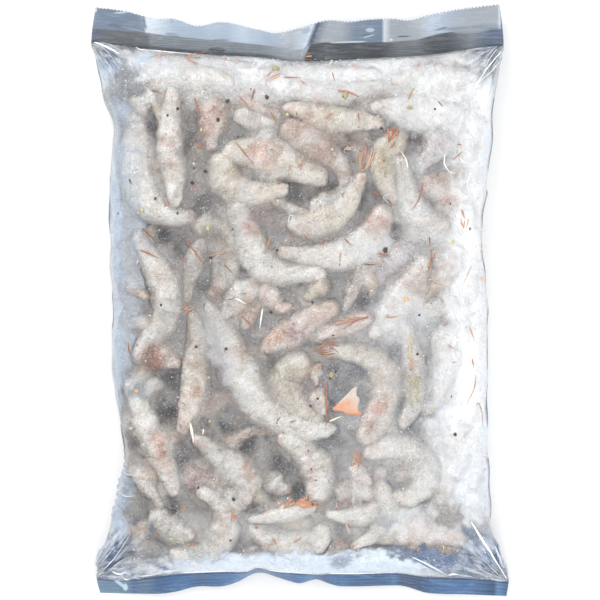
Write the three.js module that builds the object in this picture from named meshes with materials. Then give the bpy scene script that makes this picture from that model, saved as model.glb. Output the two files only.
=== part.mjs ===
// A clear pillow bag of frozen, glazed, peeled shrimp, lying on its back.
// Millimetres, +Z up. +X runs across the bag and +Y towards its top seal.
// The bag is one closed solid: its film, its filling and both flat seals.
// The film is drawn tight over the shrimp, so the front carries their curled lumps.

import * as THREE from 'three';
import { ParametricGeometry } from 'three/addons/geometries/ParametricGeometry.js';

// Heights above the table.
const DOME_HEIGHT = 39; // top of the filling, before the lumps
const LUMP_HEIGHT = 3.4; // how far a shrimp stands out of the dome
const SIDE_HEIGHT = 17; // where the bag is widest, half-way along
const SEAL_HEIGHT = 12; // both seal lines
const TOP_LIP_HEIGHT = 9.5;
const BOTTOM_LIP_HEIGHT = 4.5; // the lower seal droops towards the table

const SEAL_HALF_THICKNESS = 0.4; // a seal is drawn stiffer than its two films
const SHRIMP_HALF_GIRTH = 8.6;

// Roundness of the pillow: the first power squares the outline of a section,
// the second rounds its shoulder.
const FRONT_ACROSS = [3.2, 2.2];
const BACK_ACROSS = [5, 2.2];
const ALONG = [8, 2.2];
const RESTING_SHARE = 0.97; // this much of the back's depth is pressed flat

// The mesh: points round each section, and sections along the bag.
const AROUND = 88;
const BOTTOM_FIN_ROWS = 3;
const BODY_ROWS = 47;
const TOP_FIN_ROWS = 5;
const ROWS = BOTTOM_FIN_ROWS + BODY_ROWS + TOP_FIN_ROWS;
const EDGE_CROWDING = 0.4; // 0 spaces the points evenly, 1 crowds them at the edges

// The outline, as hand-set points that smooth curves pass through.
const CORNER_X = 100;
const LEFT_EDGE = [ // y, x
	[-143, -97], [-135, -98.6], [-126, -98.6], [-117, -95], [-105, -91.5], [-88, -88],
	[-75, -85.2], [-52, -88], [-30, -91.2], [0, -90.6], [20, -92], [55, -92.2],
	[75, -91.2], [86, -90.4], [94, -94], [104, -96.5], [115, -98.5], [124, -101.2], [142, -99.3],
];
const RIGHT_EDGE = [ // y, x
	[-143, 100.4], [-136, 101.2], [-130, 100.2], [-121, 97.5], [-114, 93.5], [-100, 92.2],
	[-60, 90.8], [-10, 91], [10, 90], [30, 88], [52, 90], [75, 92.8],
	[95, 93.6], [110, 96.5], [123, 98.7], [144, 97],
];
const TOP_LIP = [ // x, y
	[-100, 142.3], [-85, 140.4], [-70, 136.6], [-61, 136.6], [-50, 133.1], [-38, 135.1],
	[-20, 131.3], [-11, 129.7], [0, 132.2], [10, 135.2], [15, 136], [24, 135.2], [34, 136.3],
	[45, 136.7], [53, 136], [62, 138.3], [75, 140.9], [97, 143.8],
];
const TOP_SEAL = [ // x, y
	[-100, 125.6], [-75, 122.2], [-45, 119.4], [-20, 118], [0, 116], [45, 118.1], [65, 119.4],
	[80, 121.8], [100, 124],
];
const BOTTOM_SEAL = [ // x, y
	[-100, -135], [-85, -136.2], [-60, -133.4], [-38, -132.2], [-26, -132.1], [-20.5, -130.2],
	[-14, -131.6], [8, -133.4], [20, -133], [47, -132.8], [62, -134.8], [90, -135.9], [100, -137],
];
const BOTTOM_LIP = [ // x, y
	[-100, -142.2], [-80, -142.7], [-68, -142.7], [-60, -141.6], [-50, -139.2], [-38, -139.1],
	[-30, -136.8], [-23, -133.2], [-18, -132.6], [-12, -134.4], [-5, -136.6], [0, -137.6],
	[8, -135.7], [14, -137.7], [20, -139.1], [47, -138.7], [52, -139.4], [62, -142.3],
	[80, -143], [100, -143.8],
];

// The shrimp that press against the front, as points (x, y) along their backs.
const FRONT_SHRIMP = [
	[[-77, 88], [-79, 66], [-74, 44], [-50, 40]],
	[[-60, 104], [-62, 80], [-60, 58], [-56, 46]],
	[[-42, 96], [-40, 88], [-43, 81]],
	[[-37, 77], [-24, 73], [-12, 68], [9, 59]],
	[[-40, 72], [-38, 59], [-26, 52], [-10, 52]],
	[[-30, 46], [-25, 34], [-21, 18], [0, 12], [14, 13]],
	[[40, 44], [36, 32], [22, 21], [4, 22], [-8, 23]],
	[[30, 64], [25, 52], [17, 40], [-2, 36]],
	[[-8, 86], [2, 79], [14, 71], [20, 60]],
	[[-6, 95], [10, 89], [26, 85], [40, 85]],
	[[36, 93], [52, 93], [72, 92], [84, 88]],
	[[48, 78], [48, 62], [50, 46], [62, 36], [74, 38]],
	[[60, 57], [70, 52], [79, 44], [84, 32]],
	[[62, 18], [54, 8], [45, -4], [36, -18]],
	[[75, 28], [70, 14], [58, 2]],
	[[49, -8], [52, -26], [54, -44], [50, -62]],
	[[10, -23], [28, -25], [40, -36], [40, -52], [30, -68]],
	[[6, -30], [-6, -33], [-7, -44], [3, -56]],
	[[-44, -3], [-33, -20], [-24, -42], [-8, -58], [16, -63]],
	[[-52, -4], [-50, -24], [-52, -46], [-57, -67]],
	[[-83, 36], [-72, 20], [-63, 2], [-67, -14], [-78, -30]],
	[[-46, 34], [-37, 26], [-37, 12], [-43, 2]],
	[[18, 0], [4, -10], [-18, -22]],
	[[-84, -38], [-77, -56], [-67, -76], [-60, -96]],
	[[-52, -68], [-38, -77], [-24, -87], [-26, -98]],
	[[-54, -93], [-40, -99], [-36, -111], [-46, -121]],
	[[-11, -67], [2, -72], [9, -84], [6, -96]],
	[[8, -99], [-8, -102], [-23, -106]],
	[[20, -92], [34, -94], [37, -106], [31, -115]],
	[[34, -76], [48, -71], [58, -82], [58, -92], [46, -95]],
	[[46, -111], [62, -112], [82, -119]],
	[[66, -18], [70, -34], [68, -48]],
	[[80, 10], [76, -2], [64, -6]],
	[[-70, 110], [-50, 112], [-28, 110]],
	[[14, 108], [36, 108], [58, 108], [80, 106]],
	[[74, 86], [66, 74], [58, 64]],
	[[80, -45], [80, -62], [74, -78]],
];
const POINTS_ALONG_A_SHRIMP = 18;

// Folds of slack film that run in from the corners, as their two ends (x, y).
const CORNER_FOLDS = [
	[[-98, 122], [-82, 112]],
	[[96, 119], [76, 104]],
	[[80, -104], [98, -131]],
	[[-76, -106], [-96, -126]],
	[[-72, -116], [-93, -129]],
];
const FOLD_HEIGHT = 2;
const FOLD_HALF_WIDTH = 3.5;

const FILM = { color: 0xc1bfbf, roughness: 0.3, metalness: 0 };

const { lerp, clamp, smoothstep } = THREE.MathUtils;

// A smooth curve through points sorted by their first number.
function curveThrough(points) {
	const last = points.length - 1;
	const slopeAt = (i) => {
		const before = points[Math.max(i - 1, 0)];
		const after = points[Math.min(i + 1, last)];
		return (after[1] - before[1]) / (after[0] - before[0]);
	};
	return (at) => {
		let i = 0;
		while (i < last - 1 && at > points[i + 1][0]) i += 1;
		const [start, startValue] = points[i];
		const [end, endValue] = points[i + 1];
		const span = end - start;
		const t = clamp((at - start) / span, 0, 1);
		const ease = t * t * (3 - 2 * t);
		const leaving = t * (1 - t) * (1 - t) * span * slopeAt(i);
		const arriving = t * t * (t - 1) * span * slopeAt(i + 1);
		return lerp(startValue, endValue, ease) + leaving + arriving;
	};
}

const leftEdge = curveThrough(LEFT_EDGE);
const rightEdge = curveThrough(RIGHT_EDGE);
const topLip = curveThrough(TOP_LIP);
const topSeal = curveThrough(TOP_SEAL);
const bottomSeal = curveThrough(BOTTOM_SEAL);
const bottomLip = curveThrough(BOTTOM_LIP);

// How full a rounded section is at a place from -1 to 1 across it.
function fullness(place, [squareness, shoulder]) {
	return (1 - Math.abs(place) ** squareness) ** (1 / shoulder);
}

function shrimpBack(points) {
	const corners = points.map(([x, y]) => new THREE.Vector2(x, y));
	return new THREE.SplineCurve(corners).getPoints(POINTS_ALONG_A_SHRIMP);
}

const shrimpBacks = FRONT_SHRIMP.map(shrimpBack);
const foldLines = CORNER_FOLDS.map(shrimpBack);

// A round ridge over the nearest of some lines.
function ridge(lines, x, y, halfWidth) {
	let nearest = halfWidth;
	for (const line of lines) {
		for (const point of line) {
			nearest = Math.min(nearest, Math.hypot(point.x - x, point.y - y));
		}
	}
	return 1 - (nearest / halfWidth) ** 2;
}

// Where a row lies: on a seal's flat fin or on the filled body.
function placeOfRow(row) {
	const aboveBody = row - BOTTOM_FIN_ROWS - BODY_ROWS;
	if (aboveBody > 0) {
		return { fin: 'top', out: aboveBody / TOP_FIN_ROWS };
	}
	if (row < BOTTOM_FIN_ROWS) {
		return { fin: 'bottom', out: 1 - row / BOTTOM_FIN_ROWS };
	}
	const even = 2 * (row - BOTTOM_FIN_ROWS) / BODY_ROWS - 1;
	return { along: lerp(even, Math.sin(even * Math.PI / 2), EDGE_CROWDING) };
}

function rowY(place, x) {
	if (place.fin === 'top') return lerp(topSeal(x), topLip(x), place.out);
	if (place.fin === 'bottom') return lerp(bottomSeal(x), bottomLip(x), place.out);
	return lerp(bottomSeal(x), topSeal(x), (place.along + 1) / 2);
}

// Slack film ruffles along both lips.
function ruffle(x) {
	return Math.sin(x / 11) + 0.6 * Math.sin(x / 5.3 + 1);
}

function finHeight(place, x) {
	const lip = place.fin === 'top' ? TOP_LIP_HEIGHT : BOTTOM_LIP_HEIGHT;
	return lerp(SEAL_HEIGHT, lip, place.out) + ruffle(x) * place.out;
}

function bodyHeight(place, across, isFront, x, y) {
	const side = lerp(SEAL_HEIGHT, SIDE_HEIGHT, fullness(place.along, ALONG));
	if (!isFront) {
		const depth = fullness(across, BACK_ACROSS) * fullness(place.along, ALONG);
		return side * (1 - Math.min(depth / RESTING_SHARE, 1));
	}
	const rise = fullness(across, FRONT_ACROSS) * fullness(place.along, ALONG);
	const lumps = LUMP_HEIGHT * ridge(shrimpBacks, x, y, SHRIMP_HALF_GIRTH);
	const folds = FOLD_HEIGHT * ridge(foldLines, x, y, FOLD_HALF_WIDTH);
	const clearOfEdge = smoothstep(rise, 0.05, 0.5);
	return lerp(side, DOME_HEIGHT, rise) + Math.max(lumps * clearOfEdge, folds * smoothstep(rise, 0, 0.2));
}

// The turn runs once round a section: over the front, then back under the bag.
function bagSurface(turn, along, target) {
	const row = along * ROWS;
	const place = placeOfRow(row);
	const even = turn < 0.5 ? 4 * turn - 1 : 3 - 4 * turn;
	const across = clamp(lerp(even, -Math.cos(2 * Math.PI * turn), EDGE_CROWDING), -1, 1);
	const isFront = turn < 0.5;
	const left = leftEdge(rowY(place, -CORNER_X));
	const right = rightEdge(rowY(place, CORNER_X));
	const x = lerp(left, right, (across + 1) / 2);
	const y = rowY(place, x);
	const atLip = row <= 0 || row >= ROWS;
	const film = atLip ? 0 : SEAL_HALF_THICKNESS * fullness(across, [12, 2]);
	const middle = place.fin ? finHeight(place, x) : bodyHeight(place, across, isFront, x, y);
	const z = isFront ? middle + film : Math.max(middle - film, 0);
	target.set(x, y, z);
}

function sealedBag() {
	const geometry = new ParametricGeometry(bagSurface, AROUND, ROWS);
	geometry.computeBoundingBox();
	const centre = geometry.boundingBox.getCenter(new THREE.Vector3());
	geometry.translate(-centre.x, -centre.y, 0);
	const bag = new THREE.Mesh(geometry, new THREE.MeshStandardMaterial(FILM));
	bag.name = 'sealed_bag';
	return bag;
}

const model = new THREE.Group();
model.add(sealedBag());

export default model;
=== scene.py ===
"""The looks of a clear, sealed pillow bag of frozen peeled shrimp, lying on its back."""

import bmesh
import bpy
import numpy as np
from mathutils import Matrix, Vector
from mathutils.bvhtree import BVHTree


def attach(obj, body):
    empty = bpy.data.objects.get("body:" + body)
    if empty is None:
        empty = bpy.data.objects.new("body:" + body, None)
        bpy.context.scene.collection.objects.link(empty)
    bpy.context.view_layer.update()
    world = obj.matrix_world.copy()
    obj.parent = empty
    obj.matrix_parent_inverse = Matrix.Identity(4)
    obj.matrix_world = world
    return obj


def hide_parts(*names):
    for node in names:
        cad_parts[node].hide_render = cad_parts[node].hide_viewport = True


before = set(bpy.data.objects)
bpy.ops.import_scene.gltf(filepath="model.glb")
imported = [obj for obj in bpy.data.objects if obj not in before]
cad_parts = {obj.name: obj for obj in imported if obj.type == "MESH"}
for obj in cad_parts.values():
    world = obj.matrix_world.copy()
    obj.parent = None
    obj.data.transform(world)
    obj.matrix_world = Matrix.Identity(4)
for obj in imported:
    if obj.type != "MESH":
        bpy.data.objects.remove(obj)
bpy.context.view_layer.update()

bl_info = {
    "name": "Frozen shrimp bag",
    "version": (1, 0, 0),
    "blender": (4, 5, 0),
    "location": "3D View > Sidebar > Shrimp bag",
    "description": "Models a clear, sealed pillow bag packed with frozen peeled shrimp",
    "category": "Add Mesh",
}

MM = 0.001
BAG = "sealed_bag"
BODY = "root"

# The bag's outline and heights in millimetres, the same as in the part's source.
DOME_HEIGHT = 39
LUMP_HEIGHT = 3.4
SIDE_HEIGHT = 17
SEAL_HEIGHT = 12
TOP_LIP_HEIGHT = 9.5
BOTTOM_LIP_HEIGHT = 4.5
FRONT_ACROSS = (3.2, 2.2)
BACK_ACROSS = (5, 2.2)
ALONG = (8, 2.2)
RESTING_SHARE = 0.97
CORNER_X = 100
EDGE_CROWDING = 0.4  # how far the grids are drawn together at the bag's edges
LEFT_EDGE = [  # y, x
    (-143, -97), (-135, -98.6), (-126, -98.6), (-117, -95), (-105, -91.5), (-88, -88),
    (-75, -85.2), (-52, -88), (-30, -91.2), (0, -90.6), (20, -92), (55, -92.2),
    (75, -91.2), (86, -90.4), (94, -94), (104, -96.5), (115, -98.5), (124, -101.2), (142, -99.3),
]
RIGHT_EDGE = [  # y, x
    (-143, 100.4), (-136, 101.2), (-130, 100.2), (-121, 97.5), (-114, 93.5), (-100, 92.2),
    (-60, 90.8), (-10, 91), (10, 90), (30, 88), (52, 90), (75, 92.8),
    (95, 93.6), (110, 96.5), (123, 98.7), (144, 97),
]
TOP_LIP = [  # x, y
    (-100, 142.3), (-85, 140.4), (-70, 136.6), (-61, 136.6), (-50, 133.1), (-38, 135.1),
    (-20, 131.3), (-11, 129.7), (0, 132.2), (10, 135.2), (15, 136), (24, 135.2), (34, 136.3),
    (45, 136.7), (53, 136), (62, 138.3), (75, 140.9), (97, 143.8),
]
TOP_SEAL = [  # x, y
    (-100, 125.6), (-75, 122.2), (-45, 119.4), (-20, 118), (0, 116), (45, 118.1), (65, 119.4),
    (80, 121.8), (100, 124),
]
BOTTOM_SEAL = [  # x, y
    (-100, -135), (-85, -136.2), (-60, -133.4), (-38, -132.2), (-26, -132.1), (-20.5, -130.2),
    (-14, -131.6), (8, -133.4), (20, -133), (47, -132.8), (62, -134.8), (90, -135.9), (100, -137),
]
BOTTOM_LIP = [  # x, y
    (-100, -142.2), (-80, -142.7), (-68, -142.7), (-60, -141.6), (-50, -139.2), (-38, -139.1),
    (-30, -136.8), (-23, -133.2), (-18, -132.6), (-12, -134.4), (-5, -136.6), (0, -137.6),
    (8, -135.7), (14, -137.7), (20, -139.1), (47, -138.7), (52, -139.4), (62, -142.3),
    (80, -143), (100, -143.8),
]

# How things lie under the film, in millimetres.
FILM_GAP = 0.5  # between the film and what it is drawn over
DEEPEST_SAG = 4.5
CLEAR_DEPTH = 4.0  # the ice behind the film is clear, and no shade is painted, down to here
FOG_AND_SHADE_DEPTH = 15.0  # and, with painted shade, hides most of what lies deeper than this
HAZE_REACH = 12.0  # a gap this deep behind the film is as hazy, and as shaded, as gaps get
HAZE_STEP = 3.0  # about two thirds of the haze is gathered over this depth
PRESSED = 1.2  # shrimp frozen against the film are this much wider than round
FRONT_DEPTH = 1.2  # shrimp that lie less deep than this are pressed against the film
DEEPEST_FOG_AND_SHADE = 0.75  # the share of a deep shrimp that cloudy ice and painted shade hide
VEIL_HEIGHT = 27  # the film's veil thins out below this height
STREWN_X = (-84, 86)  # small bits are strewn between these
CORE_MIDDLE = (0, -6, 17.5)
CORE_SHARE = (0.9, 0.93, 0.42)  # how much smaller than the bag the ice core is

# How finely the pieces are cut, and how many there are of the small ones.
FILM_AROUND = 340
FILM_ROWS = 250
CORE_AROUND = 90
CORE_ROWS = 70
TOP_SEAL_GRID = (500, 80)  # across, along
BOTTOM_SEAL_GRID = (400, 24)
FRONT_BALL = (26, 64)  # around, along
UNDER_BALL = (20, 40)
MIDDLE_BALL = (16, 26)
BACK_BALL = (18, 30)
LINE_POINTS = 25  # of a shrimp's centreline
STRAND_POINTS = 9  # of a leg's or a feeler's
CREASE_POINTS = 33
RELAXING_STEPS = 320  # in which the film sinks on to the filling
BELLY_LEGS = 10  # for each shrimp at the front
STREWN_LEGS = 100
STREWN_SPECKS = 170
ICE_GRAINS = 4200

# Noise scales of the materials, in lumps a metre.
WASH_SCALE = 75
CLOUD_SCALE = 110
MOTTLE_SCALE = 420
GRAIN_SCALE = 1400

# The welds and the folded edges, in millimetres.
RIB_PITCH = 1.15
PLEAT_SLANT = 0.381  # how far the pleat leans to the right for each millimetre up
PLEAT_FOOT = 115.4
PLEAT_HEAD = 134.8
PINKING_PITCH = 1.7
PINKING_DEPTH = 0.3
FILM_THICKNESS = 0.35  # of both films together
EDGE_LINE_WIDTH = 0.35

# Flesh tones as the eye sees them, in 0 to 255.
TONES = {
    "white": (231, 228, 222),
    "warm": (224, 216, 204),
    "grey": (213, 209, 203),
    "pink": (220, 204, 194),
    "lilac": (216, 210, 213),
    "tan": (211, 192, 175),
    "khaki": (214, 204, 186),
    "olive": (211, 206, 193),
    "brown": (196, 180, 169),
    "mauve": (189, 167, 159),
}

# Every shrimp that can be told apart at the front: its tone, how deep it lies under
# the film, its girth, its centreline from the thick end to the tail, and "bow" where
# it is thickest in its middle.
SHRIMP = [
    ("white", 0.6, 19, [(-78, 86), (-79, 70), (-78, 55), (-71, 44), (-60, 40), (-49, 41)]),
    ("white", 0, 14, [(-61, 103), (-62, 88), (-62, 74), (-60, 62), (-60, 52), (-60, 44)], "bow"),
    ("grey", 6, 13, [(-84, 94), (-77, 84), (-72, 72), (-67, 60), (-63, 50), (-60, 44)]),
    ("grey", 4, 14, [(-70, 99), (-78, 92), (-84, 82)]),
    ("brown", 1.5, 16, [(-37, 97), (-41, 89), (-43, 80), (-42, 72)]),
    ("warm", 0, 19, [(-38, 72), (-30, 72), (-18, 70), (-6, 65), (4, 61), (13, 57)], "bow"),
    ("warm", 1.5, 17, [(-36, 72), (-38, 63), (-34, 55), (-25, 52), (-14, 53), (-5, 54)]),
    ("white", 0.5, 18, [(-31, 48), (-28, 36), (-24, 25), (-17, 16), (-7, 13), (4, 13), (13, 13)]),
    ("white", 0, 17, [(41, 46), (38, 37), (31, 28), (20, 22), (8, 21), (-4, 23), (-11, 24)]),
    ("warm", 0, 15, [(-6, 36), (4, 36), (14, 39), (22, 46), (27, 54), (31, 62)]),
    ("mauve", 7, 15, [(-22, 42), (-12, 40), (0, 44), (12, 47)]),
    ("grey", 3, 12, [(4, 45), (12, 47), (20, 52), (26, 60)]),
    ("brown", 2, 15, [(-10, 85), (0, 79), (9, 74), (17, 68), (22, 60), (20, 53)]),
    ("warm", 0.5, 12, [(-8, 93), (0, 92), (10, 88), (22, 86), (33, 86), (41, 84)], "bow"),
    ("grey", 1.5, 13, [(-6, 104), (8, 99), (20, 99), (32, 102), (42, 104)]),
    ("white", 0.5, 15, [(-72, 104), (-58, 108), (-44, 107), (-32, 104)]),
    ("grey", 1, 12, [(-78, 113), (-60, 115), (-40, 114), (-20, 112)]),
    ("white", 0, 14, [(-20, 109), (0, 110), (20, 110), (40, 109)]),
    ("white", 0.3, 13, [(34, 93), (46, 93), (58, 92), (70, 91), (80, 93)], "bow"),
    ("warm", 0, 16, [(48, 108), (62, 106), (76, 107), (88, 110)]),
    ("lilac", 0.5, 15, [(76, 86), (70, 78), (63, 70), (56, 64)]),
    ("brown", 2, 14, [(88, 70), (80, 62), (70, 58), (60, 58)]),
    ("white", 1, 17, [(84, 98), (80, 88), (80, 76), (82, 66)]),
    ("white", 0, 14, [(72, 36), (64, 38), (56, 43), (52, 51), (51, 60), (48, 70)]),
    ("khaki", 1.5, 15, [(50, 82), (44, 74), (40, 65), (42, 55), (46, 46)]),
    ("pink", 0.5, 15, [(58, 58), (66, 55), (74, 50), (81, 43), (83, 34)]),
    ("white", 0.3, 15, [(34, -18), (40, -10), (46, -3), (52, 5), (57, 13), (62, 21)], "bow"),
    ("tan", 3, 14, [(77, 28), (73, 20), (68, 12), (60, 4), (55, -3)]),
    ("white", 1, 18, [(86, 24), (82, 12), (76, 2), (67, -4), (58, -6)]),
    ("white", 1.5, 15, [(88, -2), (82, -10), (74, -14), (66, -14)]),
    ("grey", 0.4, 12, [(48, -62), (53, -54), (55, -42), (54, -30), (52, -18), (49, -9)], "bow"),
    ("warm", 0, 17, [
        (29, -70), (34, -62), (40, -53), (42, -42), (39, -32), (30, -26), (19, -25), (9, -24)]),
    ("tan", 2.5, 6, [(9, -31), (8, -37), (8, -42)]),
    ("white", 1.2, 9, [(10, -43), (9, -49), (11, -56)]),
    ("olive", 0.8, 19, [(6, -31), (-3, -33), (-7, -41), (-3, -50), (4, -56), (12, -59)]),
    ("white", 0, 17, [
        (-45, -1), (-38, -13), (-31, -26), (-27, -38), (-22, -48), (-13, -57), (2, -62),
        (18, -62)], "bow"),
    ("grey", 1.5, 9, [(-47, 30), (-51, 18), (-53, 8), (-54, -2)]),
    ("warm", 0.3, 13, [
        (-57, -66), (-55, -56), (-52, -44), (-50, -30), (-50, -16), (-52, -5)], "bow"),
    ("brown", 5, 10, [(-42, -14), (-41, -28), (-40, -42)]),
    ("white", 0.2, 15, [
        (-80, 33), (-75, 24), (-69, 14), (-64, 4), (-63, -6), (-68, -15), (-76, -21),
        (-79, -31)], "bow"),
    ("tan", 3, 9, [(-88, 13), (-81, 7), (-73, 0)]),
    ("grey", 4, 10, [(-86, 36), (-84, 26), (-82, 16)]),
    ("grey", 2, 16, [(-44, 30), (-37, 25), (-36, 15), (-40, 6), (-45, 1)]),
    ("warm", 1, 11, [(-52, 34), (-44, 36), (-36, 33), (-33, 26)]),
    ("grey", 1.5, 13, [(-20, 7), (-27, 3), (-33, -3), (-38, -10)]),
    ("brown", 3, 12, [(-24, 3), (-25, -6), (-27, -14)]),
    ("pink", 2, 10, [(-20, 6), (-14, 1), (-9, -4), (-4, -2)]),
    ("olive", 2.5, 9, [(15, 8), (8, 5), (2, 0)]),
    ("pink", 1, 15, [(-19, -24), (-9, -18), (1, -12), (11, -6), (19, -1)], "bow"),
    ("grey", 2, 6, [(27, 7), (24, 1), (21, -5)]),
    ("pink", 1, 9, [(35, -7), (26, -11), (17, -15), (8, -18)]),
    ("grey", 2.5, 12, [(22, -18), (12, -17), (4, -19)]),
    ("tan", 4, 9, [(29, 13), (34, 8), (35, 1)]),
    ("lilac", 4, 15, [(58, 26), (48, 21), (40, 14), (36, 6)]),
    ("white", 0.2, 15, [
        (-84, -38), (-80, -48), (-75, -59), (-69, -71), (-64, -83), (-60, -95)], "bow"),
    ("grey", 2, 10, [(-84, -76), (-78, -84), (-72, -92), (-67, -100)]),
    ("tan", 3, 10, [(-74, -80), (-72, -87), (-70, -94)]),
    ("brown", 1.8, 13, [(-75, -28), (-66, -28), (-58, -31)]),
    ("white", 0.4, 16, [(-20, -90), (-28, -84), (-37, -77), (-46, -70), (-52, -66)]),
    ("grey", 1.5, 16, [(-24, -92), (-31, -97), (-37, -106)]),
    ("mauve", 4, 16, [(-56, -78), (-48, -86), (-40, -92), (-32, -94)]),
    ("white", 0.5, 16, [
        (-63, -123), (-54, -124), (-44, -120), (-37, -112), (-35, -104), (-40, -97), (-50, -92)]),
    ("grey", 1.3, 14, [(-69, -101), (-65, -108), (-58, -112), (-50, -113)]),
    ("grey", 4, 14, [(-82, -112), (-75, -118), (-68, -122)]),
    ("tan", 8, 14, [(-34, -62), (-22, -61), (-13, -64)]),
    ("white", 0.3, 17, [(7, -97), (9, -87), (6, -78), (-1, -71), (-11, -66)]),
    ("grey", 4, 12, [(-16, -82), (-10, -90), (-4, -92)]),
    ("white", 0.5, 9, [(8, -98), (0, -101), (-10, -103), (-18, -105), (-25, -106)]),
    ("white", 0.5, 14, [(11, -108), (9, -115), (0, -118), (-10, -117), (-19, -114), (-25, -108)]),
    ("white", 0.5, 11, [(37, -87), (41, -95), (41, -104), (37, -111), (31, -116), (24, -119)]),
    ("white", 0, 14, [(19, -93.5), (25, -92), (31, -92.5), (35, -95.5)]),
    ("white", 0.3, 11, [(37, -97), (34, -102), (27, -103.6), (20, -103.8), (12, -103)]),
    ("pink", 0.8, 10, [(27, -80), (30, -86), (35, -90)]),
    ("white", 0, 16, [
        (31, -76), (40, -71), (50, -71), (58, -79), (60, -89), (53, -95), (44, -94)], "bow"),
    ("pink", 2.5, 7, [(36, -85), (39, -83), (41, -81)]),
    ("grey", 2.5, 10, [(47, -80), (48, -84), (48, -88)]),
    ("white", 0.6, 17, [(66, -16), (69, -26), (68, -37), (66, -47)]),
    ("white", 0.8, 15, [(80, -30), (82, -42), (80, -55), (76, -66)]),
    ("white", 1, 13, [(72, -66), (76, -76), (74, -86)]),
    ("lilac", 1, 13, [(84, -66), (85, -80), (82, -92)]),
    ("white", 1.5, 12, [(84, -8), (86, -20), (84, -30)]),
    ("grey", 2, 12, [(63, -45), (62, -51), (62, -56)]),
    ("pink", 0.8, 17, [(44, -113), (56, -111), (68, -113), (80, -117)]),
    ("lilac", 2, 12, [(-30, -124), (-10, -123), (10, -124)]),
    ("lilac", 2, 12, [(18, -124), (30, -124), (42, -124)]),
    ("tan", 1, 8, [(-18, -116), (-15, -117), (-12, -117)]),
    ("grey", 2, 10, [(-32, 90), (-22, 87), (-12, 85)]),
    ("grey", 5, 13, [(-28, 101), (-16, 97), (-4, 98)]),
]

# Colours of what tints the flesh or lies loose on it. White is also used for painted glints.
STAINS = {
    "pink": (216, 168, 150),
    "coral": (172, 112, 84),
    "orange": (178, 124, 86),
    "rust": (156, 98, 68),
    "brown": (122, 80, 56),
    "tan": (190, 152, 122),
    "purple": (158, 122, 132),
    "olive": (158, 146, 104),
    "khaki": (186, 172, 130),
    "yellow": (192, 182, 124),
    "lime": (194, 198, 112),
    "amber": (208, 172, 108),
    "cream": (236, 226, 206),
    "dark": (46, 36, 31),
    "bright": (200, 138, 102),
    "shell": (188, 176, 166),
    "white": (246, 246, 246),
}

# Colours of the film, as it is frosted, doubled, slack or welded; many of them are painted reflections,
# highlights and shade.
FILM_TONES = {
    "white": (248, 249, 251),
    "frost": (240, 241, 243),
    "milk": (226, 232, 240),
    "pale": (208, 220, 233),
    "mist": (184, 197, 213),
    "silver": (174, 178, 185),
    "haze": (146, 161, 178),
    "storm": (128, 142, 160),
    "lake": (132, 158, 194),
    "blue": (108, 136, 176),
    "steel": (98, 120, 156),
    "slate": (94, 108, 130),
    "deep": (80, 98, 130),
    "grey": (134, 140, 147),
    "smoke": (110, 113, 118),
    "soot": (84, 86, 91),
    "ash": (124, 119, 116),
    "clay": (198, 120, 96),
}

# Painted shade: the dark that deep flesh fades into, the grey of cloudy ice and shade in the gaps, and
# the darker shade over the deepest gaps.
DEEP_ICE_AND_SHADE = (92, 90, 91)
GAP_HAZE_AND_SHADE = (146, 143, 142)
GAP_SHADE = (46, 46, 50)

# Deep gaps between shrimp, over which the film is painted dark with shade: x, y, radius.
SHADED_GAPS = [
    (-52, 74, 7), (-46, 46, 6), (-3, 54, 7), (10, 51, 8), (34, 48, 8), (57, 79, 5), (64, 46, 4),
    (-58, 27, 6), (-47, 6, 5), (-35, -40, 7), (-28, -67, 9), (-40, -60, 6), (-8, -82, 7),
    (-65, -55, 6), (-56, -76, 6), (14, -68, 8), (20, -42, 6), (29, -47, 6), (28, 0, 5),
    (46, -24, 5), (58, -14, 6), (40, -100, 4), (21, -112, 5), (-42, -24, 5), (-12, -28, 5),
    (-20, 56, 5), (24, 72, 5), (-48, 88, 5), (0, 10, 4), (-66, 32, 5), (42, 34, 5),
    (-72, 95, 5), (-70, 82, 4), (-41, -34, 6), (-37, -20, 4), (-88, 60, 4), (-80, -66, 5),
    (-20, -100, 5), (-62, -100, 5), (50, -60, 5), (66, 70, 4), (-1, -91, 6), (-14, -98, 5),
    (46, -50, 5), (-62, -38, 6), (62, -62, 4), (-28, 16, 4), (-8, 46, 5), (12, -86, 5),
    (27, -35, 5), (16, -33, 4), (8, -109, 5), (33, -108, 4), (14, -50, 4), (28, -64, 4),
]

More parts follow.
